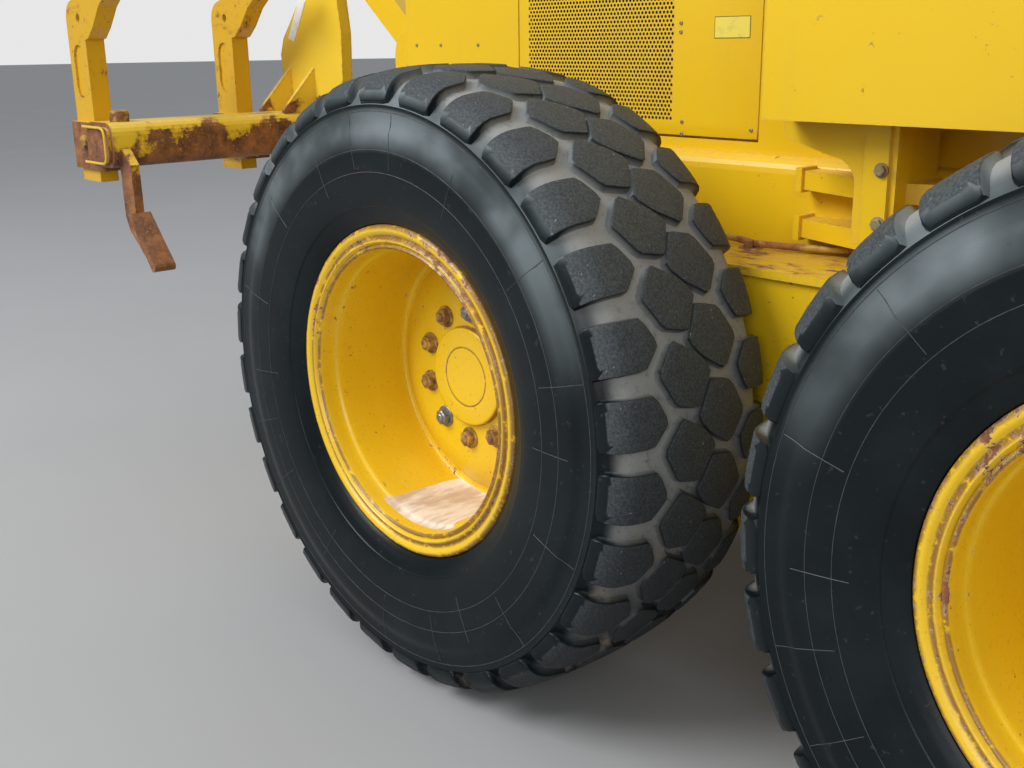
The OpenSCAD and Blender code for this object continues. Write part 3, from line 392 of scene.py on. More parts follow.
# Columns: distance along the tread from its middle, then place and radius of the tread and of its floor
TREAD_SECTION = np.array([
    (0.0000, .0000, .6648, .0000, .6480), (.0600, .0600, .6642, .0600, .6470),
    (.1000, .1000, .6620, .1000, .6455), (.1500, .1500, .6560, .1500, .6400),
    (.1800, .1800, .6500, .1760, .6320), (.1992, .1970, .6410, .1860, .6240),
    (.2169, .2090, .6280, .1950, .6140), (.2256, .2130, .6200, .2000, .6080),
    (.2340, .2152, .6120, .2060, .6020), (.2450, .2166, .6010, .2120, .5960),
    (.2520, .2168, .5950, .2150, .5930)])
# Columns: distance outwards, radius, for the outer half from the bead to the middle of the tread
CARCASS = np.array([
    (.1490, .3185), (.1650, .3365), (.1735, .3552), (.1870, .3565), (.1935, .3640), (.1975, .3735),
    (.2010, .3780), (.2030, .3850), (.2050, .3880), (.2062, .3915), (.2080, .3925), (.2095, .3960),
    (.2140, .4150), (.2185, .4400), (.2208, .4700), (.2220, .5000), (.2225, .5250), (.2223, .5370),
    (.2214, .5420), (.2196, .5480), (.2178, .5535), (.2168, .5580), (.2164, .5640), (.2162, .5800),
    (.2160, .5880), (.2166, .5900), (.2166, .5925), (.2150, .5940), (.2110, .5965), (.2060, .6015),
    (.2005, .6075), (.1955, .6135), (.1870, .6230), (.1760, .6315), (.1600, .6380), (.1300, .6425),
    (.1000, .6455), (.0500, .6473), (.0000, .6480)])


def section_at(along, column):
    """A column of TREAD_SECTION at signed distances along the tread; the place keeps their sign."""
    value = np.interp(np.abs(along), TREAD_SECTION[:, 0], TREAD_SECTION[:, column])
    return np.sign(along) * value if column in (1, 3) else value


def rounded_outline(corners, radius, count):
    """A closed anticlockwise outline with each corner rounded off, as evenly spaced points."""
    curve = cornered(corners, radius, 8)
    closed = np.concatenate([curve, curve[:1]])
    length = np.concatenate([[0], np.cumsum(np.linalg.norm(np.diff(closed, axis=0), axis=1))])
    at = np.linspace(0, length[-1], count, endpoint=False)
    return np.stack([np.interp(at, length, closed[:, k]) for k in (0, 1)], -1)


def inset(outline, amount):
    """The outline moved inwards by amount along its own normals."""
    on = np.roll(outline, -1, 0) - np.roll(outline, 1, 0)
    on /= np.linalg.norm(on, axis=1)[:, None]
    return outline + amount * np.stack([-on[:, 1], on[:, 0]], -1)


def tread_block(corners, count=28):
    """One block: rings from below the floor up over a rounded rim to the middle of the top.

    Returns points as (distance along the tread, metres round the wheel, height from floor 0 to top 1).
    """
    outline = rounded_outline([(s, c * DEGREE) for s, c in corners], 0.006, count)
    centre = outline.mean(0)
    # Columns: inset, height, share of the way to the middle
    rings = [(-.0060, -.25, 0), (-.0030, .50, 0), (-.0018, .84, 0), (-.0006, .965, 0), (.0025, 1.0, 0),
             (.0025, 1.0, .34), (.0025, 1.0, .70)]
    points = []
    for amount, height, share in rings:
        ring = inset(outline, amount)
        ring = ring + (centre - ring) * share
        points.append(np.column_stack([ring, np.full(count, height)]))
    points.append([[*centre, 1.0]])
    last = (len(rings) - 1) * count + np.arange(count)
    tris = np.stack([last, np.roll(last, -1), np.full(count, len(rings) * count)], -1)
    return np.concatenate(points), grid_faces(len(rings), count, wrap_columns=True), tris


def tyre_arrays():
    """Tyre about its own axis: points (outwards, angle, radius), faces, shares of tread top and floor."""
    parts = []
    turn = np.arange(PITCHES) * 2 * np.pi / PITCHES
    for corners, twin in ((SHOULDER_LUG, False), (INNER_BLOCK, False), (SHOULDER_LUG, True),
                          (INNER_BLOCK, True)):
        points, quads, tris = tread_block(corners)
        if twin:
            points = points * [-1, -1, 1] + [0, TREAD_TWIN * DEGREE, 0]
        top_s, top_r, low_s, low_r = (section_at(points[:, 0], k) for k in (1, 2, 3, 4))
        height = points[:, 2]
        s, r = low_s + (top_s - low_s) * height, low_r + (top_r - low_r) * height
        angle = points[:, 1] / TREAD_RADIUS
        # Each copy is worn a little differently
        worn = 0.0012 * np.sin(turn * 7 + points[0, 0] * 60)
        block = np.stack([np.broadcast_to(s, (PITCHES, len(s))), angle + turn[:, None],
                          r + (height > .5) * (worn[:, None] - .0012)], -1).reshape(-1, 3)
        step = (np.arange(PITCHES) * len(s))[:, None, None]
        parts.append((block, (quads + step).reshape(-1, 4), (tris + step).reshape(-1, 3),
                      np.tile(np.clip(height, 0, 1), PITCHES)))
    profile = np.concatenate([CARCASS, CARCASS[::-1][1:] * [-1, 1]])
    turn = np.linspace(0, 2 * np.pi, CARCASS_SEGMENTS, endpoint=False)
    s, r = (np.repeat(profile[:, k], CARCASS_SEGMENTS) for k in (0, 1))
    carcass = np.stack([s, np.tile(turn, len(profile)), r], -1)
    quads = grid_faces(len(profile), CARCASS_SEGMENTS, wrap_columns=True)
    parts.append((carcass, quads, None, np.zeros(len(carcass))))
    points, quads, tris = joined(parts)
    height = np.concatenate([p[3] for p in parts])
    tread = np.interp(np.abs(points[:, 0]), [.183, .198], [1, 0]) * (points[:, 2] > .60)
    floor = tread * np.clip(1 - height * 1.3, 0, 1)
    height = height * np.interp(np.abs(points[:, 0]), [.2135, .2166], [1, 0])
    return points, quads, tris, height, floor


def make_mould_lines(axle, side):
    """Fine raised lines on a tyre's outer sidewall: three rings and short radial lines between them."""
    centre, sign = wheel_frame(axle, side)
    low, out = CARCASS[9:30, 1], CARCASS[9:30, 0]
    parts = [hoop(r, .0008, centre + [0, sign * np.interp(r, low, out), 0], (0, sign, 0), 144, 5)
             for r in (.4620, .5060, .5800)]
    for k in range(MOULD_LINES):
        angle = 2 * math.pi * k / MOULD_LINES + .10 * math.sin(5.0 * k)
        r = np.linspace(.4700, .5780, 9) if k % 3 else np.linspace(.4350, .5300, 9)
        line = [r * math.cos(angle), sign * (np.interp(r, low, out) + .0002), r * math.sin(angle)]
        parts.append(tube(centre + np.stack(line, -1), .0007, 5))
    points, quads, tris = joined(parts)
    piece = mesh_piece(f"mould_lines_{axle}_{side}", points, quads, tris, f"wheel_{axle}_{side}", 60)
    return piece


def make_tyre(axle, side, arrays):
    """(outwards, angle, radius) becomes x = r cos, y = outwards, z = r sin round the wheel's centre."""
    points, quads, tris, top, floor = arrays
    centre, sign = wheel_frame(axle, side)
    angle = points[:, 1] + (TYRE_TURN[axle] + (0 if side == "right" else .35))
    radius = points[:, 2]
    place = centre + np.stack([radius * np.cos(angle), sign * points[:, 0], radius * np.sin(angle)], -1)
    if sign < 0:
        quads, tris = quads[:, ::-1], tris[:, ::-1]
    uv = np.stack([points[:, 1] / (2 * np.pi), radius], -1)
    # The band near the shoulder, where the rubber paints a grey-blue sheen as a highlight
    low, high = SHEEN_BAND
    band = np.clip((radius - low) / .022, 0, 1) * np.clip((high - radius) / .004, 0, 1)
    piece = mesh_piece(f"tyre_{axle}_{side}_treaded", place, quads, tris, f"wheel_{axle}_{side}", 40,
                       uv, {"tread_top": top, "tread_floor": floor, "shoulder": band})
    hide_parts(f"tyre_{axle}_{side}")
    return piece


# Rims and nuts

# Columns: radius, distance outwards from the wheel's centre plane, share of rust; from the hub's middle over
# the dish, the outer flange and the seat of the tyre to the inner flange and the back of the disc
RIM_SECTION = np.array([
    (0, .0085, .3), (.0600, .0085, .2), (.0640, .0085, .5), (.0650, .0078, 1), (.0672, .0078, 1),
    (.0682, .0085, .5), (.0730, .0085, .1), (.1040, .0082, .1), (.1080, .0072, .4), (.1100, .0040, .9),
    (.1112, -.0060, 1), (.1130, -.0078, .6), (.1180, -.0080, .1), (.1900, -.0080, .05), (.2150, -.0120, .05),
    (.2450, -.0235, .05), (.2620, -.0345, .1), (.2700, -.0420, .2), (.2730, -.0452, .6), (.2762, -.0450, .2),
    (.2795, -.0462, .7), (.2830, -.0445, .2), (.2865, -.0440, .3), (.2893, -.0415, .6), (.2908, -.0370, .2),
    (.2920, -.0200, .0), (.2930, .0600, 0), (.2938, .1250, 0), (.2950, .1380, .1), (.2962, .1425, .6),
    (.2985, .1445, .3), (.3010, .1500, .2), (.3022, .1650, .2), (.3030, .1780, .3), (.3050, .1850, .95),
    (.3082, .1868, 1), (.3112, .1856, 1), (.3128, .1828, .7), (.3140, .1815, .8), (.3155, .1825, .6),
    (.3170, .1870, .5), (.3200, .1897, .5), (.3235, .1890, .8), (.3262, .1860, 1), (.3275, .1832, 1),
    (.3295, .1828, 1), (.3330, .1848, .8), (.3370, .1885, .3), (.3410, .1912, .4), (.3450, .1918, .6),
    (.3500, .1905, .9), (.3535, .1875, 1), (.3548, .1840, .9), (.3545, .1760, 0), (.3520, .1735, 0),
    (.3360, .1660, 0), (.3180, .1500, 0), (.3120, .1200, 0), (.3120, -.1450, 0), (.3180, -.1500, 0),
    (.3360, -.1660, 0), (.3520, -.1735, 0), (.3545, -.1760, 0), (.3548, -.1840, .5), (.3500, -.1905, .5),
    (.3400, -.1918, .3), (.3050, -.1900, .1), (.2985, -.1500, 0), (.2985, -.0650, 0), (.2750, -.0640, 0),
    (.2400, -.0480, 0), (.1900, -.0300, 0), (.1250, -.0260, 0), (.1250, -.1890, 0), (0, -.1890, 0)])
RIM_SEGMENTS = 144
NUT_COUNT = 10
NUT_CIRCLE = 0.1455
NUT_TURN = math.radians(15.6)
PLATED_NUTS = (2, 6)        # newer nuts, of zinc
MUD_LEVEL = -0.281          # height of the dried puddle in a dish, from the wheel's axis
MUD_RIM = .010              # height over which the puddle thins out
DISH = (-.043, .150)        # how far out from the wheel's centre plane mud can lie


def make_rim(axle, side):
    """A dished rim with the marks of its rusty rings and of the mud that dried in it."""
    centre, sign = wheel_frame(axle, side)
    points, quads = lathe(RIM_SECTION[:, :2], RIM_SEGMENTS, centre, (0, sign, 0))
    out = (points[:, 1] - centre[1]) * sign
    level = points[:, 2] - centre[2]
    mud = (out > DISH[0]) * (out < DISH[1]) * np.clip((MUD_LEVEL + MUD_RIM - level) / MUD_RIM, 0, 1)
    piece = mesh_piece(f"rim_{axle}_{side}_dished", points, quads, body=f"wheel_{axle}_{side}", smooth=50,
                       marks={"rust_line": np.repeat(RIM_SECTION[:, 2], RIM_SEGMENTS), "mud": mud})
    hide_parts(f"rim_{axle}_{side}")
    return piece


def make_nuts(axle, side):
    """Hexagon nuts with a washer and the end of their stud, on a circle round the hub."""
    centre, sign = wheel_frame(axle, side)
    washer = [(0, .0040), (.0235, .0040), (.0245, .0032), (.0245, -.001)]
    nut = [(.0105, .0190), (.0150, .0190), (.0178, .0170), (.0185, .0150), (.0185, .003)]
    stud = [(0, .0235), (.0075, .0232), (.0098, .0212), (.0105, .0160)]
    axis, parts, plated = (0, sign, 0), [], []
    for k in range(NUT_COUNT):
        a = 2 * math.pi * k / NUT_COUNT + NUT_TURN
        place = centre + np.array([NUT_CIRCLE * math.cos(a), -sign * .008, NUT_CIRCLE * math.sin(a)])
        spin = 0.4 * math.sin(7.0 * k)
        parts += [lathe(washer, 28, place, axis), lathe(stud, 16, place, axis),
                  lathe(nut, 30, place, axis, lambda angle: hexagon(angle + spin))]
        plated += [float(k in PLATED_NUTS)] * sum(len(part[0]) for part in parts[-3:])
    piece = mesh_piece(f"wheel_nuts_{axle}_{side}", *joined(parts)[:2], body=f"wheel_{axle}_{side}", smooth=30,
                       marks={"plated": plated})
    return piece


# Perforated side panels

MESH_X = (-1.130, -.654)    # perforated field, in stations
MESH_Z = (1.190, 1.598)
HOLE_PITCH = 0.0108
ROW_PITCH = 0.00935
HOLE_R = 0.0039
HOLE_SIDES = 8
SHEET = 0.003               # thickness of the panel


def perforated_field(x_low, x_high, z_low, z_high):
    """Staggered round holes, each in a brick-shaped cell with as many points on the hole as on the rim.

    Returns points in (x, z, depth) with the front at depth 0 and the hole's wall going back to 0.4 of the
    sheet, the faces, and the field's width and height.
    """
    columns = int((x_high - x_low) / HOLE_PITCH)
    rows = int((z_high - z_low) / ROW_PITCH)
    i, j = np.meshgrid(np.arange(columns), np.arange(rows), indexing="ij")
    shift = np.where(j % 2 == 0, 0.25, -0.25) * HOLE_PITCH
    cx = x_low + (i + .5) * HOLE_PITCH + shift
    cz = z_low + (j + .5) * ROW_PITCH + 0 * shift
    angle = np.arange(HOLE_SIDES) * 2 * np.pi / HOLE_SIDES
    circle = np.stack([np.cos(angle), np.sin(angle)], -1)
    edge = circle / np.abs(circle).max(1)[:, None] * [HOLE_PITCH / 2, ROW_PITCH / 2]
    hole = HOLE_R * circle
    centre = np.stack([cx, cz], -1).reshape(-1, 1, 2)
    count = len(centre)
    rings = [np.concatenate([centre + ring, np.full((count, HOLE_SIDES, 1), depth)], -1)
             for ring, depth in ((edge, 0.0), (hole, 0.0), (hole, 0.4))]
    step = (np.arange(count) * len(rings) * HOLE_SIDES)[:, None, None]
    quads = grid_faces(len(rings), HOLE_SIDES, wrap_columns=True) + step
    return (np.concatenate(rings, 1).reshape(-1, 3), quads.reshape(-1, 4),
            (columns * HOLE_PITCH, rows * ROW_PITCH))


def make_side_panels():
    """Both fixed panels: a solid border with a folded edge round a field of holes."""
    low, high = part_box("side_panels")
    field, field_quads, (width, height) = perforated_field(*MESH_X, *MESH_Z)
    x0, x1 = MESH_X[0] - HOLE_PITCH / 4, MESH_X[0] + width + HOLE_PITCH / 4
    z0, z1 = MESH_Z[0], MESH_Z[0] + height
    outline = rounded_outline(oblong(low[0] - X_OFFSET, high[0] - X_OFFSET, low[2], high[2]), .006, 96)
    inner = np.clip(outline, [x0, z0], [x1, z1])
    # Columns: outline, depth in sheet thicknesses
    rings = [(inner, 0.0), (inset(outline, .0022), 0.0), (inset(outline, .0006), .25), (outline, .8),
             (outline, 5.0)]
    border = np.concatenate([np.column_stack([o, np.full(len(o), d)]) for o, d in rings])
    border_quads = grid_faces(len(rings), len(outline), wrap_columns=True)[:, ::-1]
    # The half cells that the stagger leaves open at the field's two ends, row by row
    rows = round(height / ROW_PITCH)
    row = np.arange(rows)
    left = np.where(row % 2 == 0, x0, x1 - HOLE_PITCH / 2)
    right, foot = left + HOLE_PITCH / 2, z0 + row * ROW_PITCH
    corners = ((left, foot), (left, foot + ROW_PITCH), (right, foot + ROW_PITCH), (right, foot))
    ends = np.stack([np.column_stack([x, z, 0 * x]) for x, z in corners], 1).reshape(-1, 3)
    end_quads = np.arange(4 * rows).reshape(-1, 4)
    parts = []
    for sign in (-1, 1):
        for points, quads in ((field, field_quads), (ends, end_quads), (border, border_quads)):
            y = sign * (high[1] - points[:, 2] * SHEET)
            place = np.stack([points[:, 0] + X_OFFSET, y, points[:, 1]], -1)
            parts.append((place, quads if sign > 0 else quads[:, ::-1], None))
    points, quads, _ = joined(parts)
    piece = mesh_piece("side_panels_perforated", points, quads, body="rear", smooth=30)
    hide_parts("side_panels")
    return piece


# Materials

def node(tree, kind, inputs=None, **settings):
    """Adds a shader node; inputs maps a socket's name or number to a constant, a Value or a socket."""
    made = tree.nodes.new("ShaderNode" + kind)
    for key, value in settings.items():
        setattr(made, key, value)
    for key, value in (inputs or {}).items():
        wire(tree, made.inputs[key], value)
    return made


def wire(tree, socket, value):
    """Links a Value or a socket to a socket, and sets anything else on the socket itself."""
    value = getattr(value, "socket", value)
    if isinstance(value, bpy.types.NodeSocket):
        tree.links.new(value, socket)
    else:
        socket.default_value = value


class Value:
    """One output of a shader node; sums, differences and products of values make maths nodes."""

    def __init__(self, socket):
        self.socket = socket

    def maths(self, operation, a, b=0.0):
        return Value(node(self.socket.id_data, "Math", {0: a, 1: b}, operation=operation).outputs[0])

    def __add__(self, other):
        return self.maths("ADD", self, other)

    def __sub__(self, other):
        return self.maths("SUBTRACT", self, other)

    def __rsub__(self, other):
        return self.maths("SUBTRACT", other, self)

    def __mul__(self, other):
        return self.maths("MULTIPLY", self, other)

    def most(self, other):
        return self.maths("MAXIMUM", self, other)

    def size(self):
        """The value without its sign."""
        return self.maths("ABSOLUTE", self)

    def clamped(self):
        self.socket.node.use_clamp = True
        return self

    def step(self, low, high):
        """0 at low, 1 at high, smooth between."""
        return Value(node(self.socket.id_data, "MapRange", {0: self, 1: low, 2: high, 3: 0.0, 4: 1.0},
                          interpolation_type="SMOOTHSTEP").outputs[0])

    def part(self, number):
        """X, Y or Z of a vector."""
        return Value(node(self.socket.id_data, "SeparateXYZ", {0: self}).outputs[number])


class Tree:
    """A shader tree under construction."""

    def __init__(self, tree):
        self.tree = tree

    def output(self, kind, which, inputs=None, **settings):
        """One output, by name or number, of a new node."""
        return Value(node(self.tree, kind, inputs, **settings).outputs[which])

    def coordinate(self, which):
        return self.output("TexCoord", which)

    @property
    def place(self):
        """The point in its piece's own frame."""
        return self.coordinate("Object")

    @property
    def level(self):
        """Height of the point at rest."""
        return self.place.part(2)

    @property
    def up(self):
        """How far a face looks up."""
        return self.output("NewGeometry", "Normal").part(2)

    def mark(self, name):
        """The value of a mesh attribute."""
        return self.output("Attribute", "Fac", attribute_name=name)

    def noise(self, scale, detail=4.0, roughness=0.55, stretch=None):
        place = self.output("Mapping", 0, {0: self.place, 3: stretch}) if stretch else self.place
        return self.output("TexNoise", 0, {"Vector": place, "Scale": scale, "Detail": detail,
                                           "Roughness": roughness})

    def mix(self, share, a, b):
        """Colour a where share is 0, colour b where it is 1."""
        a, b = ((*c, 1) if isinstance(c, tuple) else c for c in (a, b))
        return self.output("Mix", 2, {0: share, 6: a, 7: b}, data_type="RGBA")

    def group(self, name, **inputs):
        """The outputs of a shared group by name; an underscore in an input's name stands for a space."""
        inputs = {key.replace("_", " "): value for key, value in inputs.items()}
        made = node(self.tree, "Group", inputs, node_tree=GROUPS[name])
        return {out.name: Value(out) for out in made.outputs}


class Finish(Tree):
    """A material and its shader."""

    def __init__(self, name):
        self.material = bpy.data.materials.new(name)
        self.material.use_nodes = True
        super().__init__(self.material.node_tree)

    def done(self, colour, roughness, relief=None, **others):
        """Wires the shader up. relief is height, strength, distance; _ in a name stands for a space."""
        inputs = self.tree.nodes["Principled BSDF"].inputs
        wire(self.tree, inputs["Base Color"], colour)
        wire(self.tree, inputs["Roughness"], roughness)
        for key, value in others.items():
            wire(self.tree, inputs[key.replace("_", " ")], value)
        if relief:
            wire(self.tree, inputs["Normal"],
                 self.output("Bump", 0, dict(zip(("Height", "Strength", "Distance"), relief))))
        return self.material


def make_group(name, inputs, build):
    """A node group whose outputs are what build returns by name for the group's tree and inputs."""
    group = bpy.data.node_groups.new(name, "ShaderNodeTree")
    for label, value in inputs.items():
        socket = group.interface.new_socket(name=label, in_out="INPUT", socket_type="NodeSocketFloat")
        socket.default_value = value
    given = group.nodes.new("NodeGroupInput").outputs
    made = build(Tree(group), *(Value(given[label]) for label in inputs))
    for label in made:
        kind = "NodeSocketColor" if label == "Colour" else "NodeSocketFloat"
        group.interface.new_socket(name=label, in_out="OUTPUT", socket_type=kind)
    out = group.nodes.new("NodeGroupOutput").inputs
    for label, value in made.items():
        wire(group, out[label], value)
    return group


def weathering(tree, radius, chips, dust):
    """Masks that every painted or bare steel shares: worn edges, chips, scratches, streaks, dust and bump."""
    normal = tree.output("NewGeometry", "Normal")
    soft = tree.output("Bevel", 0, {"Radius": radius}, samples=4)
    bend = 1.0 - tree.output("VectorMath", "Value", {0: soft, 1: normal}, operation="DOT_PRODUCT")
    fine, broad = tree.noise(55, 5, .65), tree.noise(2.3, 3, .5)
    reach = .86 - chips * .16
    chip = (tree.noise(38, 6, .7) + tree.noise(3.1, 2, .5) * .22).step(reach, reach + .03)
    lines, lines_b = tree.noise(24, 2, .6, (1, 1, 14)), tree.noise(20, 2, .6, (13, 1, 1))
    scratch = lines.step(.69, .73).most(lines_b.step(.70, .74)) * tree.noise(7, 2).step(.50, .60)
    lying = (normal.part(2) + broad * .5).step(.75, 1.35)
    edge = (bend * 4.0).clamped() * fine.step(.42, .60)
    return {"Edge": edge.clamped(), "Chip": chip, "Scratch": scratch,
            "Streak": tree.noise(9, 4, .6, (1, 1, .12)).step(.48, .75),
            "Dust": (lying * fine.step(.30, .62) * dust).clamped(), "Fade": broad,
            "Height": tree.noise(160, 2) * .25 + chip * -.5}


def rust(tree, orange):
    """Colour and relief of rust: brown to orange in layers, with dark pits."""
    coarse, grain = tree.noise(17, 6, .65), tree.noise(140, 3, .6)
    ramp = node(tree.tree, "ValToRGB", {0: coarse})
    stops = ramp.color_ramp.elements
    stops[0].position, stops[0].color = .30, (.055, .024, .012, 1)
    stops[1].position, stops[1].color = .72, (.42, .165, .040, 1)
    stops.new(.52).color = (.210, .080, .030, 1)
    return {"Colour": tree.mix(grain.step(.5, .72) * orange, ramp.outputs[0], (.42, .17, .05)),
            "Height": coarse * .6 + grain * .4}


GROUPS = {"weathering": make_group("weathering", {"Edge radius": .008, "Chips": .5, "Dust": .5}, weathering),
          "rust": make_group("rust", {"Orange": .5}, rust)}
PAINT = (.80, .505, .010)
PAINT_PALE = (.84, .60, .060)
DUST = (.43, .33, .22)


def dimmed(colour, share):
    return tuple(c * share for c in colour)


def painted(name, colour=PAINT, chips=.45, dust=.1, rusting=.6, edge=.006, bare=(.30, .26, .20),
            lines=False, flaking=False):
    """Enamel over steel: faded and streaked colour, worn edges and chips that rust, dust on what lies level.

    lines adds a rim's rusty rings, flakes and mud, from the marks rust_line and mud; flaking a loose top coat.
    """
    f = Finish(name)
    wear, rusty = f.group("weathering", Edge_radius=edge, Chips=chips, Dust=dust), f.group("rust")
    base = f.mix(wear["Fade"].step(.3, .75) * .55, colour, dimmed(colour, .93))
    base = f.mix(wear["Streak"] * .16, base, dimmed(colour, .62))
    base = f.mix(wear["Scratch"] * .30, base, (.86, .60, .22))
    base = f.mix(wear["Edge"] * .45, base, bare)
    broken = wear["Chip"] * rusting
    if flaking:
        loose = f.noise(20, 6, .72, (.40, 1, 1)) + f.up.step(.2, .8) * .085
        base = f.mix(loose.step(.560, .630) * .60, base, (.44, .215, .022))
        broken = broken.most(loose.step(.640, .662))
    if lines:
        line, fine = f.mark("rust_line"), f.noise(46, 6, .7)
        base = f.mix((line * fine.step(.20, .50)).step(.45, .95) * .90, base, (.235, .105, .024))
        base = f.mix(f.noise(150, 3, .6).step(.57, .74) * .38, base, (.40, .20, .008))
        flake = fine + f.noise(6, 2).step(.42, .62) * .12 + line * .18
        base = f.mix(flake.step(.770, .785) * .6, base, (.55, .43, .28))
        broken = broken.most(flake.step(.795, .82))
    base = f.mix(wear["Dust"], f.mix(broken, base, rusty["Colour"]), DUST)
    if lines:
        mud = (f.mark("mud") + f.noise(30, 4, .6) * .5).step(.62, .72)
        clay = f.mix(f.noise(26, 5, .65, (1, .25, 1)).step(.38, .62), (.56, .41, .29), (.80, .70, .58))
        base, broken = f.mix(mud, base, clay), broken.most(mud)
    rough = (wear["Streak"] * .12 + .33 + broken.most(wear["Dust"]) * .45).clamped()
    return f.done(base, rough, (wear["Height"], .25, .0012), Coat_Weight=.12, Coat_Roughness=.2)


def scoured_paint(name):
    """Enamel on the blade's back and rims; its hollow front is scoured to streaked steel with thin rust."""
    f = Finish(name)
    wear, rusty = f.group("weathering", Edge_radius=.01, Chips=.55, Dust=.15), f.group("rust", Orange=.4)
    reach = f.noise(6, 6, .6, (1, .18, 1)) + f.level.step(.66, .30) * .28
    bare = f.coordinate("Normal").part(0).step(.25, .55) * reach.step(.56, .62)
    steel = f.mix(f.noise(30, 5, .7, (1, .06, 1)).step(.35, .7), (.20, .185, .165), (.44, .42, .39))
    steel = f.mix(f.noise(8, 5, .65).step(.52, .68), steel, rusty["Colour"])
    base = f.mix(wear["Fade"].step(.3, .75), PAINT, dimmed(PAINT, .9))
    base = f.mix(wear["Edge"] * .6, base, (.24, .17, .10))
    base = f.mix(bare, f.mix(wear["Chip"] * .8, base, rusty["Colour"]), steel)
    return f.done(f.mix(wear["Dust"], base, DUST), wear["Streak"] * .12 + .36,
                  (wear["Height"] + bare * -.5, .3, .0012), Metallic=bare * .55)


def rusted_paint(name):
    """Brown rust with islands of old yellow, more of it low down and on the beam's ends."""
    f = Finish(name)
    wear, rusty = f.group("weathering", Edge_radius=.02, Chips=.6, Dust=.3), f.group("rust", Orange=.7)
    kept = f.noise(7, 7, .66) + f.up * .10 + f.level.step(1.03, 1.17) * .12 + f.level.step(1.17, 1.225) * .30
    end_face = f.coordinate("Normal").part(1).size().step(.8, .95)
    kept = kept - f.level.step(1.00, .94) * .30 - end_face * .14
    stained, kept = kept.step(.555, .640), kept.step(.555, .585)
    yellow = f.mix(stained, (.46, .235, .020), f.mix(wear["Fade"].step(.3, .7), PAINT, PAINT_PALE))
    base = f.mix(wear["Edge"] * .5, f.mix(kept, rusty["Colour"], yellow), (.24, .15, .09))
    return f.done(f.mix(wear["Dust"], base, DUST), .62 - kept * .25,
                  (rusty["Height"] * .7 + kept * .5, .6, .003))


def rubber(name):
    """Dressed black sidewalls with a painted grey-blue sheen high up and on the band near the shoulder, dull
    worn blocks with grit, brown dust in the grooves; block tops and groove floors are painted darker towards
    the bottom as shade.
    """
    f = Finish(name)
    fine, grit, broad, rubbed = (f.noise(*n) for n in ((220, 3, .7), (60, 5, .7), (6, 4, .6), (5, 3, .5)))
    # Painted sheen: a grey-blue highlight painted on up-facing rubber high on the tyre and on the band near
    # the shoulder, brighter higher up
    painted_sheen = f.up.step(.0, .55) * f.level.step(.80, 1.15)
    painted_sheen = painted_sheen.most(f.mark("shoulder") * f.level.step(.72, 1.14))
    painted_sheen = (painted_sheen * (rubbed.step(.35, .65) * .6 + .22) * .80).clamped()
    side = f.mix(broad.step(.4, .7), (.0030, .0062, .0074), (.0065, .0112, .0130))
    side = f.mix(painted_sheen, side, (.250, .292, .308))
    side = f.mix(f.noise(75, 2, .6).step(.66, .74) * .35, side, (.050, .056, .060))
    worn = f.mix(fine.step(.35, .66), (.034, .040, .044), (.068, .077, .082))
    # Painted shade: worn block tops get darker towards the bottom of the tyre
    shade = f.level.step(.10, .95) * .62 + .50
    worn = f.output("VectorMath", 0, {0: worn, 3: shade}, operation="SCALE")
    worn = f.mix(f.noise(130, 3, .7).step(.680, .72), worn, (.30, .29, .27))
    # Groove floors: dust colour painted darker towards the bottom as shade, with brown clay dirt low down
    floor_dust_and_shade = f.mix(f.level.step(.22, .68), (.066, .070, .071), (.285, .290, .278))
    clay = rubbed.step(.50, .60) * f.level.step(.62, .30) * grit.step(.35, .60)
    floor_dust_and_shade = f.mix(clay, floor_dust_and_shade, (.30, .245, .185))
    top, dusty = f.mark("tread_top").step(.80, .97), f.mark("tread_floor") * grit.step(.10, .50)
    base = f.mix(dusty, f.mix(top, side, worn), floor_dust_and_shade)
    return f.done(base, top.most(dusty) * .30 + .27 + broad * .08, (fine * (top + .2) + grit * .5, .35, .0015),
                  Specular_IOR_Level=.20)


def plain_metal(name, colour, roughness, metallic, grain=120, rusting=.0, depth=.001):
    """Bare or coated steel with a fine grain, smears in its gloss and a share of rust."""
    f = Finish(name)
    wear, rusty = f.group("weathering", Edge_radius=.003, Chips=.5, Dust=.35), f.group("rust", Orange=.6)
    fine = f.noise(grain, 3, .6)
    base = f.mix(fine.step(.3, .7), dimmed(colour, .82), colour)
    base = f.mix(wear["Edge"] * .4, base, tuple(min(1, c * 1.8 + .05) for c in colour))
    share = f.noise(21, 5, .65).step(.62 - .30 * rusting, .74 - .30 * rusting) * min(1.0, rusting * 1.6)
    base = f.mix(wear["Dust"], f.mix(share, base, rusty["Colour"]), DUST)
    return f.done(base, (share * .35 + roughness + wear["Streak"] * .08).clamped(),
                  (fine * .4 + rusty["Height"], .25, depth), Metallic=metallic - share * metallic)


def nut_finish(name):
    """Golden brown rust over old paint; where the attribute plated is 1, dull zinc."""
    f = Finish(name)
    grain, plated = f.noise(150, 4, .65), f.mark("plated")
    base = f.mix(f.noise(48, 3, .6).step(.38, .62), (.185, .088, .026), (.46, .255, .045))
    base = f.mix(grain.step(.56, .70), base, (.085, .042, .020))
    zinc = f.mix(grain.step(.4, .65), (.30, .31, .32), (.17, .165, .15))
    return f.done(f.mix(plated, base, zinc), .62 - plated * .22, (grain, .4, .0008), Metallic=plated * .65)


def lens_finish(name, colour):
    """Moulded lamp plastic with a fine prism pattern."""
    f = Finish(name)
    grain = f.noise(260, 2, .5)
    return f.done(f.mix(grain.step(.35, .65), dimmed(colour, .72), colour), f.noise(30) * .12 + .08,
                  (grain, .3, .0006), Coat_Weight=.6)


def printed(name, colour):
    """A blank sticker or plate: faded film with fine dirt."""
    f = Finish(name)
    dirt = f.noise(40, 5, .65).step(.50, .80)
    return f.done(f.mix(dirt * .5, colour, (.28, .24, .17)), dirt * .35 + .30)


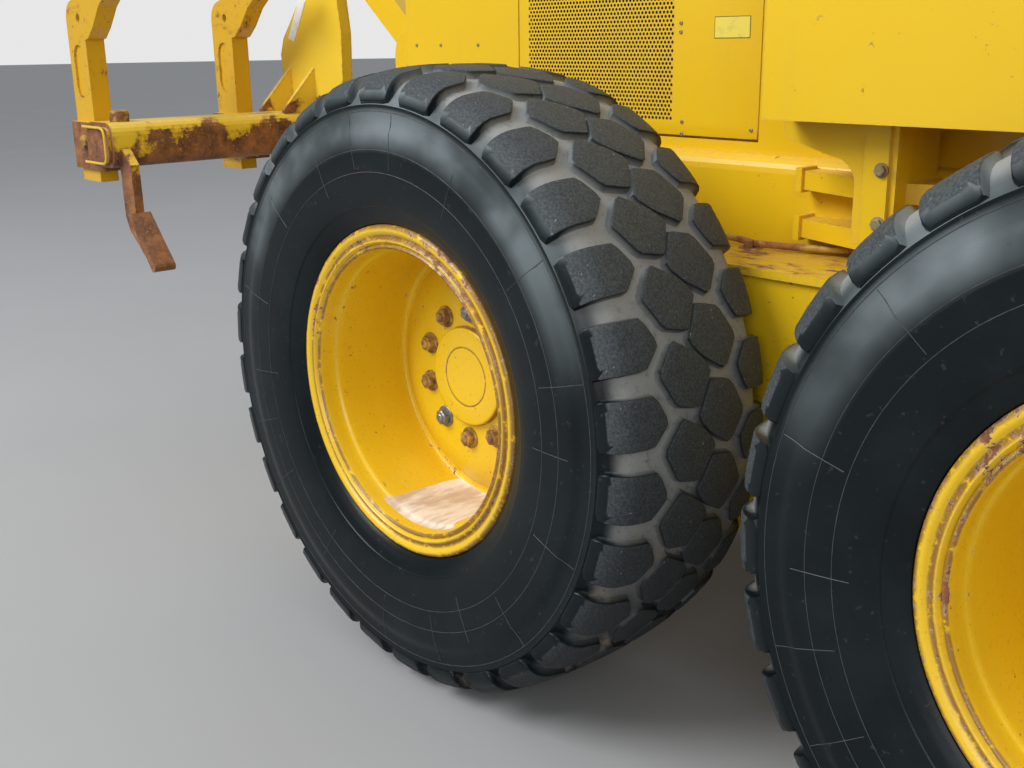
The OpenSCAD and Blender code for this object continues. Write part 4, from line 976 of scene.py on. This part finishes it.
def cloth(name):
    """Woven seat cover: crossed threads with lint and wear on top."""
    f = Finish(name)
    weave = [f.output("TexWave", "Fac", {"Vector": f.place, "Scale": 90, "Distortion": .6},
                      bands_direction=axis) for axis in ("X", "Y")]
    threads, wear = weave[0] * weave[1], f.noise(9, 4, .6).step(.45, .75)
    base = f.mix(threads, (.022, .023, .026), (.070, .072, .078))
    return f.done(f.mix(wear * .35, base, (.13, .12, .105)), .92 - wear * .15, (threads, .5, .0015))


def clear_glass(name):
    """Tinted glass with a thin film of dirt."""
    f = Finish(name)
    film = f.noise(4, 5, .6, (1, 1, .3))
    return f.done(f.mix(film.step(.4, .75), (.80, .88, .86), (.70, .74, .70)), film.step(.5, .8) * .12,
                  Transmission_Weight=.92, IOR=1.15)


# Kind of finish, then for each name what the kind's function takes after it
MATERIALS = {name: kind(name, **rest) for kind, rows in (
    (painted, {
        "panel_paint": {},
        "wheel_paint": dict(chips=.55, rusting=.85, edge=.004, lines=True),
        "frame_paint": dict(chips=.50, dust=.2, rusting=.8, edge=.01),
        "case_paint": dict(chips=.56, dust=.25, rusting=.9, edge=.02, flaking=True),
        "shank_paint": dict(colour=(.66, .375, .014), chips=.62, rusting=.9, edge=.014,
                            bare=(.36, .19, .05), flaking=True)}),
    (rusted_paint, {"rusted_beam": {}}), (scoured_paint, {"scoured_paint": {}}), (rubber, {"tyre_rubber": {}}),
    (nut_finish, {"nut_steel": {}}), (clear_glass, {"cab_glass_tinted": {}}), (cloth, {"seat_cloth": {}}),
    (plain_metal, {
        "dark_steel": dict(colour=(.055, .056, .06), roughness=.5, metallic=.25, rusting=.25),
        "rod_steel": dict(colour=(.62, .63, .65), roughness=.16, metallic=1, grain=300, depth=.0002),
        "interior_trim": dict(colour=(.045, .045, .048), roughness=.62, metallic=0, grain=400),
        "nut_plain": dict(colour=(.33, .27, .16), roughness=.45, metallic=.35, rusting=.45),
        "black_coat": dict(colour=(.022, .022, .024), roughness=.42, metallic=0, grain=300, rusting=.12),
        "core": dict(colour=(.030, .030, .032), roughness=.6, metallic=.3, grain=500, rusting=.1),
        "burnt_steel": dict(colour=(.12, .085, .06), roughness=.55, metallic=.6, rusting=.65),
        "rusty_pipe": dict(colour=(.50, .30, .040), roughness=.55, metallic=.1, grain=60, rusting=.72),
        "worn_edge": dict(colour=(.30, .27, .24), roughness=.38, metallic=.8, grain=70, rusting=.5),
        "line_rubber": dict(colour=(.034, .040, .044), roughness=.5, metallic=0, grain=300),
        "window_rubber": dict(colour=(.014, .014, .015), roughness=.7, metallic=0, grain=300),
        "mirror_glass": dict(colour=(.78, .80, .82), roughness=.05, metallic=1, grain=20, depth=.00002)}),
    (lens_finish, {"lens_clear": dict(colour=(.72, .75, .76)), "lens_red": dict(colour=(.50, .015, .012)),
                   "lens_amber": dict(colour=(.72, .22, .012))}),
    (printed, {"label": dict(colour=(.80, .66, .10)), "white_plate": dict(colour=(.82, .83, .83))}))
    for name, rest in rows.items()}


def dress(piece, name):
    """Gives a piece one material."""
    piece.data.materials.clear()
    piece.data.materials.append(MATERIALS[name])


# Assembly

tyre = tyre_arrays()
for axle, side in WHEELS:
    dress(make_tyre(axle, side, tyre), "tyre_rubber")
    dress(make_mould_lines(axle, side), "line_rubber")
    dress(make_rim(axle, side), "wheel_paint")
    dress(make_nuts(axle, side), "nut_steel")
dress(make_side_panels(), "panel_paint")

SLOT_MATERIAL = {"tyre": "tyre_rubber", "dark_steel": "dark_steel", "rod_steel": "rod_steel",
                 "rusted_beam": "rusted_beam", "glass": "cab_glass_tinted", "interior": "interior_trim",
                 "paint_yellow": "panel_paint"}
FRAME_NODES = ("rear_frame", "axle_housing", "drawbar", "circle", "blade_yoke", "front_axle", "knuckle_left",
               "knuckle_right", "ripper_arms", "ripper_links")
NODE_MATERIAL = {"ripper_shanks": "shank_paint", "moldboard": "scoured_paint", "tandem_cases": "case_paint",
                 **dict.fromkeys(FRAME_NODES, "frame_paint")}
for entry in frame["record"]["subparts"]:
    name = entry["node"]
    dress(NODES[name], NODE_MATERIAL.get(name) or SLOT_MATERIAL[entry["material_slot"]])


# Small pieces, drawn in stations

UP = (0, 0, 1)
TEETH = 64                  # of the circle


def add(name, parts, body, finish, smooth=32.0, marks=None):
    """One piece made of parts drawn in stations."""
    points, quads, tris = joined(parts)
    piece = mesh_piece(name, points + [X_OFFSET, 0, 0], quads, tris, body, smooth, marks=marks)
    dress(piece, finish)
    return piece


def hood_details():
    """Screws, blank sticker, door latches, louvres, grille frame and core."""
    places = [(-1.594, 1.36), (-1.486, 1.36), (-1.329, 1.36), (-1.594, 1.62), (-1.20, 1.62), (-.633, 1.385),
              (-.633, 1.404), (-.623, 1.161), (-.623, 1.188), (-1.150, 1.178), (-.430, 1.178), (-1.150, 1.600),
              (-.430, 1.600), (-.230, 1.30), (-.230, 1.60), (-.230, 1.86)]
    add("hood_screws", both([screw((x, .5, z), (0, 1, 0), .0052) for x, z in places]), "rear", "nut_plain")
    border = plate(oblong(-.539, -.443, 1.370, 1.416), .4999, .5005, "y", .002, .0002)
    add("sticker_border", [mirrored(border)], "rear", "black_coat")
    film = plate(oblong(-.5375, -.4445, 1.3715, 1.4145), .5003, .5009, "y", .002, .0002)
    add("sticker_blank", [mirrored(film)], "rear", "label")
    for side in ("left", "right"):
        parts = [plate(oblong(-.83, -.75, 1.645, 1.685), .499, .504, "y", .010),
                 plate(oblong(-.815, -.765, 1.657, 1.673), .502, .514, "y", .006)]
        add(f"engine_door_latch_{side}", sided(parts, side), f"engine_door_{side}", "black_coat")
    louvres = []
    for x in np.arange(9) * .062 - 1.50:
        outline = [(x, 1.989), (x + .040, 1.989), (x + .036, 1.996), (x + .022, 2.001), (x + .006, 1.998)]
        louvres += [plate(outline, y, y + .24, "y", .004, .003, 3) for y in (-.36, .04)]
    add("hood_louvres", louvres, "rear", "panel_paint")
    add("radiator_core", [plate(oblong(-.395, .395, 1.245, 1.795), -1.598, -1.560, "x", .01)], "rear", "core")
    edging = surround(oblong(-.40, .40, 1.24, 1.80), .026, 1.640, 1.652, "x", .012)
    add("grille_frame", [rearward(edging)], "rear", "black_coat")
    back, rims = (-1, 0, 0), []
    for z, finish in ((1.715, "lens_red"), (1.660, "lens_amber"), (1.605, "lens_clear")):
        place = (-1.6705, .448, z)
        add(f"rear_{finish}", both([lens(place, back, .0235, .006)]), "rear", finish)
        rims.append(hoop(.0255, .0028, place, back, 40, 8))
    add("rear_lamp_rims", both(rims), "rear", "black_coat")


def stack_details():
    """Clamps, heat guard and flap of the exhaust; vanes of the air intake; tank caps; hitch cap."""
    x, y = -.56, .17
    parts = [lathe([(.0555, z + .012), (.0585, z + .009), (.0585, z - .009), (.0555, z - .012)], 40, (x, y, 0))
             for z in (2.45, 2.56)]
    for k in range(13):
        a = math.radians(-30 + 20 * k)
        foot = np.array([x + .094 * math.cos(a), y + .094 * math.sin(a), 2.05])
        parts.append(tube([foot, foot + [0, 0, .16], foot + [0, 0, .32]], .0045, 8))
    parts += [hoop(.094, .005, (x, y, z), UP, 48, 8) for z in (2.05, 2.21, 2.37)]
    add("exhaust_guard", parts, "rear", "burnt_steel")
    lid = [(0, .004), (.055, .004), (.058, .001), (.058, -.003), (0, -.004)]
    flap = [lathe(lid, 36, (x - .016, y, 2.662), (-.45, 0, .9)),
            tube([(-.50, y, 2.622), (-.505, y, 2.640), (-.520, y, 2.650)], .006, 8)]
    add("exhaust_flap", flap, "rear", "burnt_steel")
    vanes = []
    for angle in np.arange(36) * math.pi / 18:
        out = np.array([math.cos(angle), math.sin(angle), 0])
        bow = [out * r + [-.9, -.15, z] for r, z in ((.112, 2.15), (.117, 2.215), (.112, 2.28))]
        vanes.append(tube(bow, .004, 6))
    vanes += [hoop(.1155, .006, (-.9, -.15, z), UP, 56, 8) for z in (2.143, 2.288)]
    add("air_cleaner_vanes", vanes, "rear", "black_coat")
    caps = [lathe([(0, .030), (.040, .030), (.047, .024), (.049, .006), (.049, -.001)], 144, (.5, .64, 1.819),
                  shape=lambda angle: 1 + .035 * np.sign(np.sin(angle * 18 + .01))),
            plate(oblong(.455, .545, .632, .648), 1.846, 1.857, "z", .004)]
    add("tank_caps", both(caps), "rear", "black_coat")
    hitch = [cap((1.55, 0, 1.159), UP, .075, .020), *bolt_circle((1.55, 0, 1.176), UP, .055, 6)]
    add("hitch_cap", hitch, "front", "frame_paint")


def tandem_details():
    """Brake pipe on each tandem case, its clips, and the bolts of the step brackets."""
    route = [(-.90, .604, .957), (-.43, .600, .957), (-.405, .598, .962), (-.352, .611, .960),
             (-.325, .618, .958), (-.227, .596, .958), (-.105, .570, .962), (.02, .556, .985),
             (.30, .550, 1.00), (.62, .550, 1.00), (.66, .544, 1.01)]
    parts = [tube(bend_path(route, .012), .0075, 12)]
    parts += [plate(oblong(x - .012, x + .012, y - .016, y + .016), .945, .9535, "z", .003)
              for x, y in ((-.70, .602), (-.43, .600))]
    parts += [plate(oblong(x - .010, x + .010, .984, 1.016), .538, .5435, "y", .003) for x in (.26, .50)]
    parts += [plate([(-.36, .590), (-.31, .600), (-.305, .640), (-.355, .634)], .945, .950, "z", .006),
              cap((-.330, .628, .950), UP, .010, .016)]
    add("brake_pipes", both(parts), "rear", "rusty_pipe")
    bolts = bolt_row([(.012, .710, 1.141), (.012, .710, 1.044)], (0, 1, 0), .022, .012)
    add("bracket_bolts", both(bolts), "rear", "nut_plain")


def cab_details():
    """Gaskets, wiper, lamps and mirrors round the cab."""
    parts = [surround(oblong(-.645, .645, 1.535, 3.178), .028, 2.737, 2.747, "x", .05),
             rearward(surround(oblong(-.645, .645, 1.925, 3.178), .028, -1.381, -1.371, "x", .05))]
    parts += both([surround(oblong(1.442, 1.878, 1.932, 3.176), .024, .687, .695, "y", .05)])
    add("window_gaskets", parts, "front", "window_rubber")
    for side in ("left", "right"):
        frames = [surround(oblong(2.022, 2.638, z0, z1), .016, .692, .700, "y", .04)
                  for z0, z1 in ((1.582, 2.148), (2.232, 3.113))]
        add(f"door_gaskets_{side}", sided(frames, side), f"cab_door_{side}", "window_rubber")
        grip = [(2.535, .724, 2.19), (2.535, .752, 2.19), (2.640, .752, 2.19), (2.640, .724, 2.19)]
        handle = [plate(oblong(2.52, 2.655, 2.165, 2.215), .7195, .727, "y", .012),
                  tube(bend_path(grip, .012), .007, 10)]
        add(f"door_handle_{side}", sided(handle, side), f"cab_door_{side}", "black_coat")
    arm = [(2.760, 0, 1.60), (2.770, .16, 2.18), (2.764, .18, 2.30)]
    wiper = [cap((2.747, 0, 1.60), (1, 0, 0), .022, .018), tube(bend_path(arm, .02), .006, 8),
             plate([(.178, 2.02), (.192, 2.02), (.202, 2.74), (.188, 2.74)], 2.747, 2.760, "x", .003)]
    add("wiper", wiper, "front", "black_coat")
    roof, head, ahead = [(2.8185, y, 3.105) for y in (.33, .6)], (6.0225, .34, 1.64), (1, 0, 0)
    lenses = [lens(place, ahead, .046, .008) for place in roof] + [lens(head, ahead, .059, .011)]
    add("lamp_lenses", both(lenses), "front", "lens_clear")
    rims = [hoop(.0485, .0035, place, ahead, 48, 8) for place in roof]
    rims.append(hoop(.0625, .0040, head, ahead, 56, 8))
    add("lamp_rims", both(rims), "front", "black_coat")
    glass = [rearward(plate(oblong(.945, 1.075, 2.515, 2.675), -2.8445, -2.8425, "x", .022, .0006))]
    add("mirror_glass", both(glass), "front", "mirror_glass")
    seal = surround(oblong(1.345, 2.80, -.735, .735), .016, 3.170, 3.1795, "z", .05)
    add("roof_seal", [seal], "front", "window_rubber")


def cab_inside():
    """Seat, armrests, consoles with levers, column, wheel and pedals; replaces the plain interior."""
    base = [plate(oblong(1.50, 1.96, -.24, .24), 1.499, 1.530, "z", .03),
            plate(oblong(1.54, 1.92, -.20, .20), 1.72, 1.765, "z", .03)]
    for i in range(7):
        grow, low = .004 * (i % 2), 1.53 + i * .027
        fold = oblong(1.55 - grow, 1.91 + grow, -.19 - grow, .19 + grow)
        base.append(plate(fold, low, low + .027, "z", .03, .008))
    shell = [(1.50, 1.75), (1.96, 1.75), (1.95, 1.79), (1.57, 1.80), (1.50, 2.56), (1.46, 2.55)]
    base.append(plate(shell, -.205, .205, "y", .02))
    console = [(1.58, 1.50), (1.94, 1.50), (1.96, 1.98), (1.90, 2.06), (1.60, 2.02)]
    knob = [(0, .026), (.010, .022), (.014, .010), (.010, -.006), (0, -.010)]
    for y in (-.345, .345):
        base.append(plate(console, y - .055, y + .055, "y", .03, .008))
        for k in range(3):
            foot = np.array([1.72 + .055 * k, y + (k - 1) * .012, 2.03])
            base += [tube([foot, foot + [0, 0, .05], foot + [.006, 0, .095]], .005, 8),
                     lathe(knob, 20, foot + [.006, 0, .10])]
    post = [(2.36, 1.50), (2.52, 1.50), (2.50, 1.56), (2.46, 2.22), (2.38, 2.24)]
    board = [(2.36, 2.20), (2.50, 2.17), (2.47, 2.33), (2.38, 2.34)]
    column = [plate(post, -.07, .07, "y", .03, .01), plate(board, -.16, .16, "y", .02, .008)]
    tilt = np.array([-.42, 0, .91])
    hub = np.array([2.33, 0, 2.37])
    head = np.array([2.41, 0, 2.28])
    column += [tube([head, (head + hub) / 2, hub], .018, 12), cap(hub, tilt, .035, .014)]
    turn = turned_to(tilt)
    for a in np.radians([90, 210, 330]):
        spoke = turn @ [math.cos(a), math.sin(a), 0]
        column.append(tube([hub + spoke * .02, hub + spoke * .10 - tilt * .006, hub + spoke * .185], .007, 8))
    column.append(hoop(.19, .013, hub, tilt, 72, 12))
    pedals = []
    for y in (-.24, -.14, .20):
        pedals += [plate(oblong(2.57, 2.60, y - .035, y + .035), 1.60, 1.70, "z", .006),
                   tube([(2.60, y, 1.50), (2.595, y, 1.56), (2.585, y, 1.64)], .007, 8)]
    mat = [plate(oblong(1.42, 2.70, -.66, .66), 1.499, 1.506, "z", .02)]
    piece = add("operator_station", base + column + pedals + mat, "front", "interior_trim")
    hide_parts("cab_interior")
    for name, parts in (("seat_cushion", [pad((1.52, -.235, 1.765), (1.985, .235, 1.90), .34, .05, 5)]),
                        ("seat_back", [pad((1.545, -.225, 1.885), (1.655, .225, 2.50), .42, -.075)]),
                        ("seat_headrest", [pad((1.50, -.14, 2.50), (1.59, .14, 2.67), .5, -.075)]),
                        ("armrests", both([pad((1.60, .215, 2.04), (1.88, .275, 2.10), .5)]))):
        soft = add(name, parts, "front", "seat_cloth", 60)


def front_details():
    """Pipes, welds and bolts on the front frame, saddle and push block; ladder treads; kingpin caps."""
    parts = []
    for k, z in enumerate((1.80, 1.83, 1.86)):
        run = [(3.70, .162, z), (4.72, .166, z), (5.50, .166, z - .30 - .012 * k)]
        parts.append(tube(bend_path(run, .08), .009, 12))
        parts.append(lathe([(.0135, .016), (.0135, -.012), (.009, -.014)], 6, (3.715, .166, z), (1, 0, 0)))
    parts += [plate(oblong(x - .014, x + .014, 1.780, 1.882), .1545, .180, "y", .004)
              for x in (3.95, 4.25, 4.55)]
    add("frame_pipes", both(parts), "front", "black_coat")
    top = [(2.905, 1.705), (3.18, 1.9395), (3.34, 1.9395)]
    ahead = [(3.70, 1.9395), (4.70, 1.9395), (5.52, 1.590), (6.77, 1.381)]
    below = [(3.10, 1.5125), (3.40, 1.6005), (4.69, 1.6005), (5.44, 1.263)]
    beads = [tube([(x, .1545, z) for x, z in line], .005, 8) for line in (top, ahead, below)]
    add("frame_welds", both(beads), "front", "frame_paint")
    places = [(x, .200, z) for x in (3.385, 3.648) for z in (1.56, 1.66, 1.86, 1.95)]
    add("saddle_bolts", both(bolt_row(places, (0, 1, 0), .034, .018)), "front", "nut_plain")
    places = [(6.84, y, 1.340) for y in (-.24, 0, .24)] + [(7.05, y, 1.340) for y in (-.30, 0, .30)]
    add("push_block_bolts", bolt_row(places, UP, .036, .020), "front", "nut_plain")
    grips = []
    for z in (.760, .990, 1.220):
        for x in np.arange(6) * .0335 + 1.83:
            grips.append(plate(oblong(x, x + .006, .804, .856), z - .001, z + .007, "z", .001))
    add("ladder_grips", both(grips), "front", "black_coat")
    for side in ("left", "right"):
        parts = [cap((6.086, .715, .819), UP, .048, .014), cap((6.086, .715, .516), (0, 0, -1), .048, .012),
                 *bolt_circle((6.086, .715, .830), UP, .034, 3, .016)]
        add(f"kingpin_caps_{side}", sided(parts, side), f"knuckle_{side}", "frame_paint")


def blade_details():
    """Bolts and end bits of the cutting edge, circle teeth and cylinder glands with their pipes."""
    head, nut = [(0, .0045), (.010, .0045), (.014, .002)], [(0, .010), (.012, .010), (.014, .008)]
    row = np.arange(-1.74, 1.75, .145)
    plough = [lathe([*head, (.014, -.001)], 16, (3.490, y, .195), (1, 0, 0)) for y in row]
    # No nuts where the yoke's two cheeks stand close behind the blade
    plough += [lathe([*nut, (.014, -.001)], 6, (3.470, y, .195), (-1, 0, 0))
               for y in row if abs(abs(y) - .60) > .06]
    add("cutting_edge_bolts", plough, "moldboard", "nut_plain")
    bits = [plate(oblong(1.70, 1.8285, .082, .236), 3.488, 3.505, "x", .006)]
    bits += [plate(oblong(-.002, .002, .084, .228), 3.4895, 3.4915, "x", .001)]
    add("end_bits", both(bits), "moldboard", "worn_edge")
    teeth, flanks = [], [(.6415, -.022), (.6415, .022), (.6285, .009), (.6285, -.009)]
    points, quads, tris = plate(flanks, .744, .780, "z", .002, .002, 2)
    for a in np.arange(TEETH) * 2 * math.pi / TEETH:
        turn = np.array([[math.cos(a), -math.sin(a), 0], [math.sin(a), math.cos(a), 0], [0, 0, 1]])
        teeth.append((points @ turn.T + [3.72, 0, 0], quads, tris))
    add("circle_teeth", teeth, "circle", "worn_edge")
    top, pin = np.array([3.56, .62, 1.75]), np.array([3.45, .62, .945])
    down = (pin - top) / np.linalg.norm(pin - top)
    band = [(.0725, .016), (.0775, .012), (.0775, -.012), (.0725, -.016)]
    barrel = [lathe(band, 48, top + down * t, down) for t in (.135, -1.185, -.62)]
    barrel += [lathe([(.0405, .012), (.055, .010), (.058, 0), (.0725, -.001)], 48, top + down * .150, down)]
    barrel += [cap(top - down * 1.199, -down, .060, .012)]
    out = np.array([0, .0825, 0])
    pipe = [top + down * t + out * share
            for t, share in ((.12, .86), (.11, 1), (-.62, 1), (-1.14, 1), (-1.15, .86))]
    barrel.append(tube(bend_path(pipe, .008), .0065, 10))
    add("lift_glands", both(barrel), "lift_barrels", "frame_paint")


def ripper_details():
    """Blank plate, pin heads, retaining pins and rusty caps on the ripper."""
    corners = [(-2.520, 1.386), (-2.487, 1.371), (-2.398, 1.506), (-2.440, 1.512)]
    blank = mirrored(plate(corners, .3395, .3425, "y", .004, .0006))
    add("ripper_plate_blank", [blank], "ripper", "white_plate")
    heads = []
    for z in (1.07, 1.70):
        heads += [cap((-2.29, .3445, z), (0, 1, 0), .036, .010), *bolt((-2.29, .353, z), (0, 1, 0), .026)]
    add("ripper_pin_heads", both(heads), "ripper", "nut_plain")
    dome = [(0, .036), (.018, .036), (.027, .031), (.031, .020), (.029, .006), (.030, -.002)]
    tops = [lathe(dome, 32, (-2.42, 1.030, 1.144))]
    for y in (0, .51, 1.02):
        tops += [cap((-2.615, y + way * .0435, 1.075), (0, way, 0), .021, .012) for way in (-1, 1)]
    add("ripper_caps", both(tops), "ripper", "rusty_pipe")
    seam = [(x, 1.1095, z) for x, z in ((-2.516, 1.022), (-2.364, 1.022), (-2.364, 1.130), (-2.516, 1.130))]
    add("beam_end_welds", both([tube(bend_path(seam, .03), .004, 8)]), "ripper", "frame_paint")


for build in (hood_details, stack_details, tandem_details, cab_details, cab_inside, front_details,
              blade_details, ripper_details):
    build()


# Floor, light and camera

def make_floor():
    """A flat pale disc under the machine, wide enough to meet the horizon."""
    piece = mesh_piece("floor", *lathe([(0, 0), (90.0, 0)], 96, (0, 0, -.0005)), smooth=None)
    f = Finish("pale_floor")
    piece.data.materials.append(f.done(f.mix(f.noise(.8, 3), (.36, .365, .37), (.40, .405, .41)), .85))


def make_world():
    """Light that grows towards the zenith; the camera sees plain pale grey in its place."""
    world = bpy.data.worlds.new("studio")
    world.use_nodes = True
    sky = Tree(world.node_tree)
    light = sky.tree.nodes["Background"]
    glow = sky.coordinate("Generated").part(2).step(-.1, .8)
    wire(sky.tree, light.inputs[0], sky.mix(glow, (.20, .21, .22), (.94, .97, 1.0)))
    light.inputs[1].default_value = .66
    shown = sky.output("Background", 0, {0: (.80, .80, .80, 1), 1: 1.0})
    seen = sky.output("LightPath", "Is Camera Ray")
    mixed = sky.output("MixShader", 0, {0: seen, 1: light.outputs[0], 2: shown})
    wire(sky.tree, sky.tree.nodes["World Output"].inputs[0], mixed)
    bpy.context.scene.world = world


def make_lamp(name, place, aim, size, power):
    """A round area lamp of size metres and power watts."""
    data = bpy.data.lights.new(name, "AREA")
    data.shape, data.size, data.energy = "DISK", size, power
    lamp = bpy.data.objects.new(name, data)
    lamp.location = place
    lamp.rotation_euler = (Vector(aim) - Vector(place)).to_track_quat("-Z", "Y").to_euler()
    bpy.context.collection.objects.link(lamp)


def make_camera():
    """Camera of the photograph: its place, heading, pitch and roll."""
    place = (-1.1285, -2.619, 1.378)
    heading, pitch, roll = (math.radians(a) for a in (47.733, -16.605, -.771))
    level = math.cos(pitch)
    ahead = Vector((-math.sin(heading) * level, math.cos(heading) * level, math.sin(pitch)))
    right = ahead.cross(Vector(UP)).normalized()
    up = right.cross(ahead)
    right, up = (math.cos(roll) * right + math.sin(roll) * up, -math.sin(roll) * right + math.cos(roll) * up)
    turn = Matrix((right, up, -ahead)).transposed().to_4x4()
    data = bpy.data.cameras.new("camera")
    data.lens, data.sensor_width = 40.86, 36.0
    data.clip_end = 300.0
    camera = bpy.data.objects.new("camera", data)
    camera.matrix_world = Matrix.Translation(place) @ turn
    bpy.context.collection.objects.link(camera)
    bpy.context.scene.camera = camera


make_floor()
make_world()
make_lamp("key", (-6.0, -8.0, 7.5), (-2.5, -.5, .8), 6.0, 880)
make_lamp("fill", (4.0, -9.0, 4.0), (-1.0, 0, 1.0), 6.0, 330)
make_camera()
bpy.context.scene.view_settings.view_transform = "Standard"
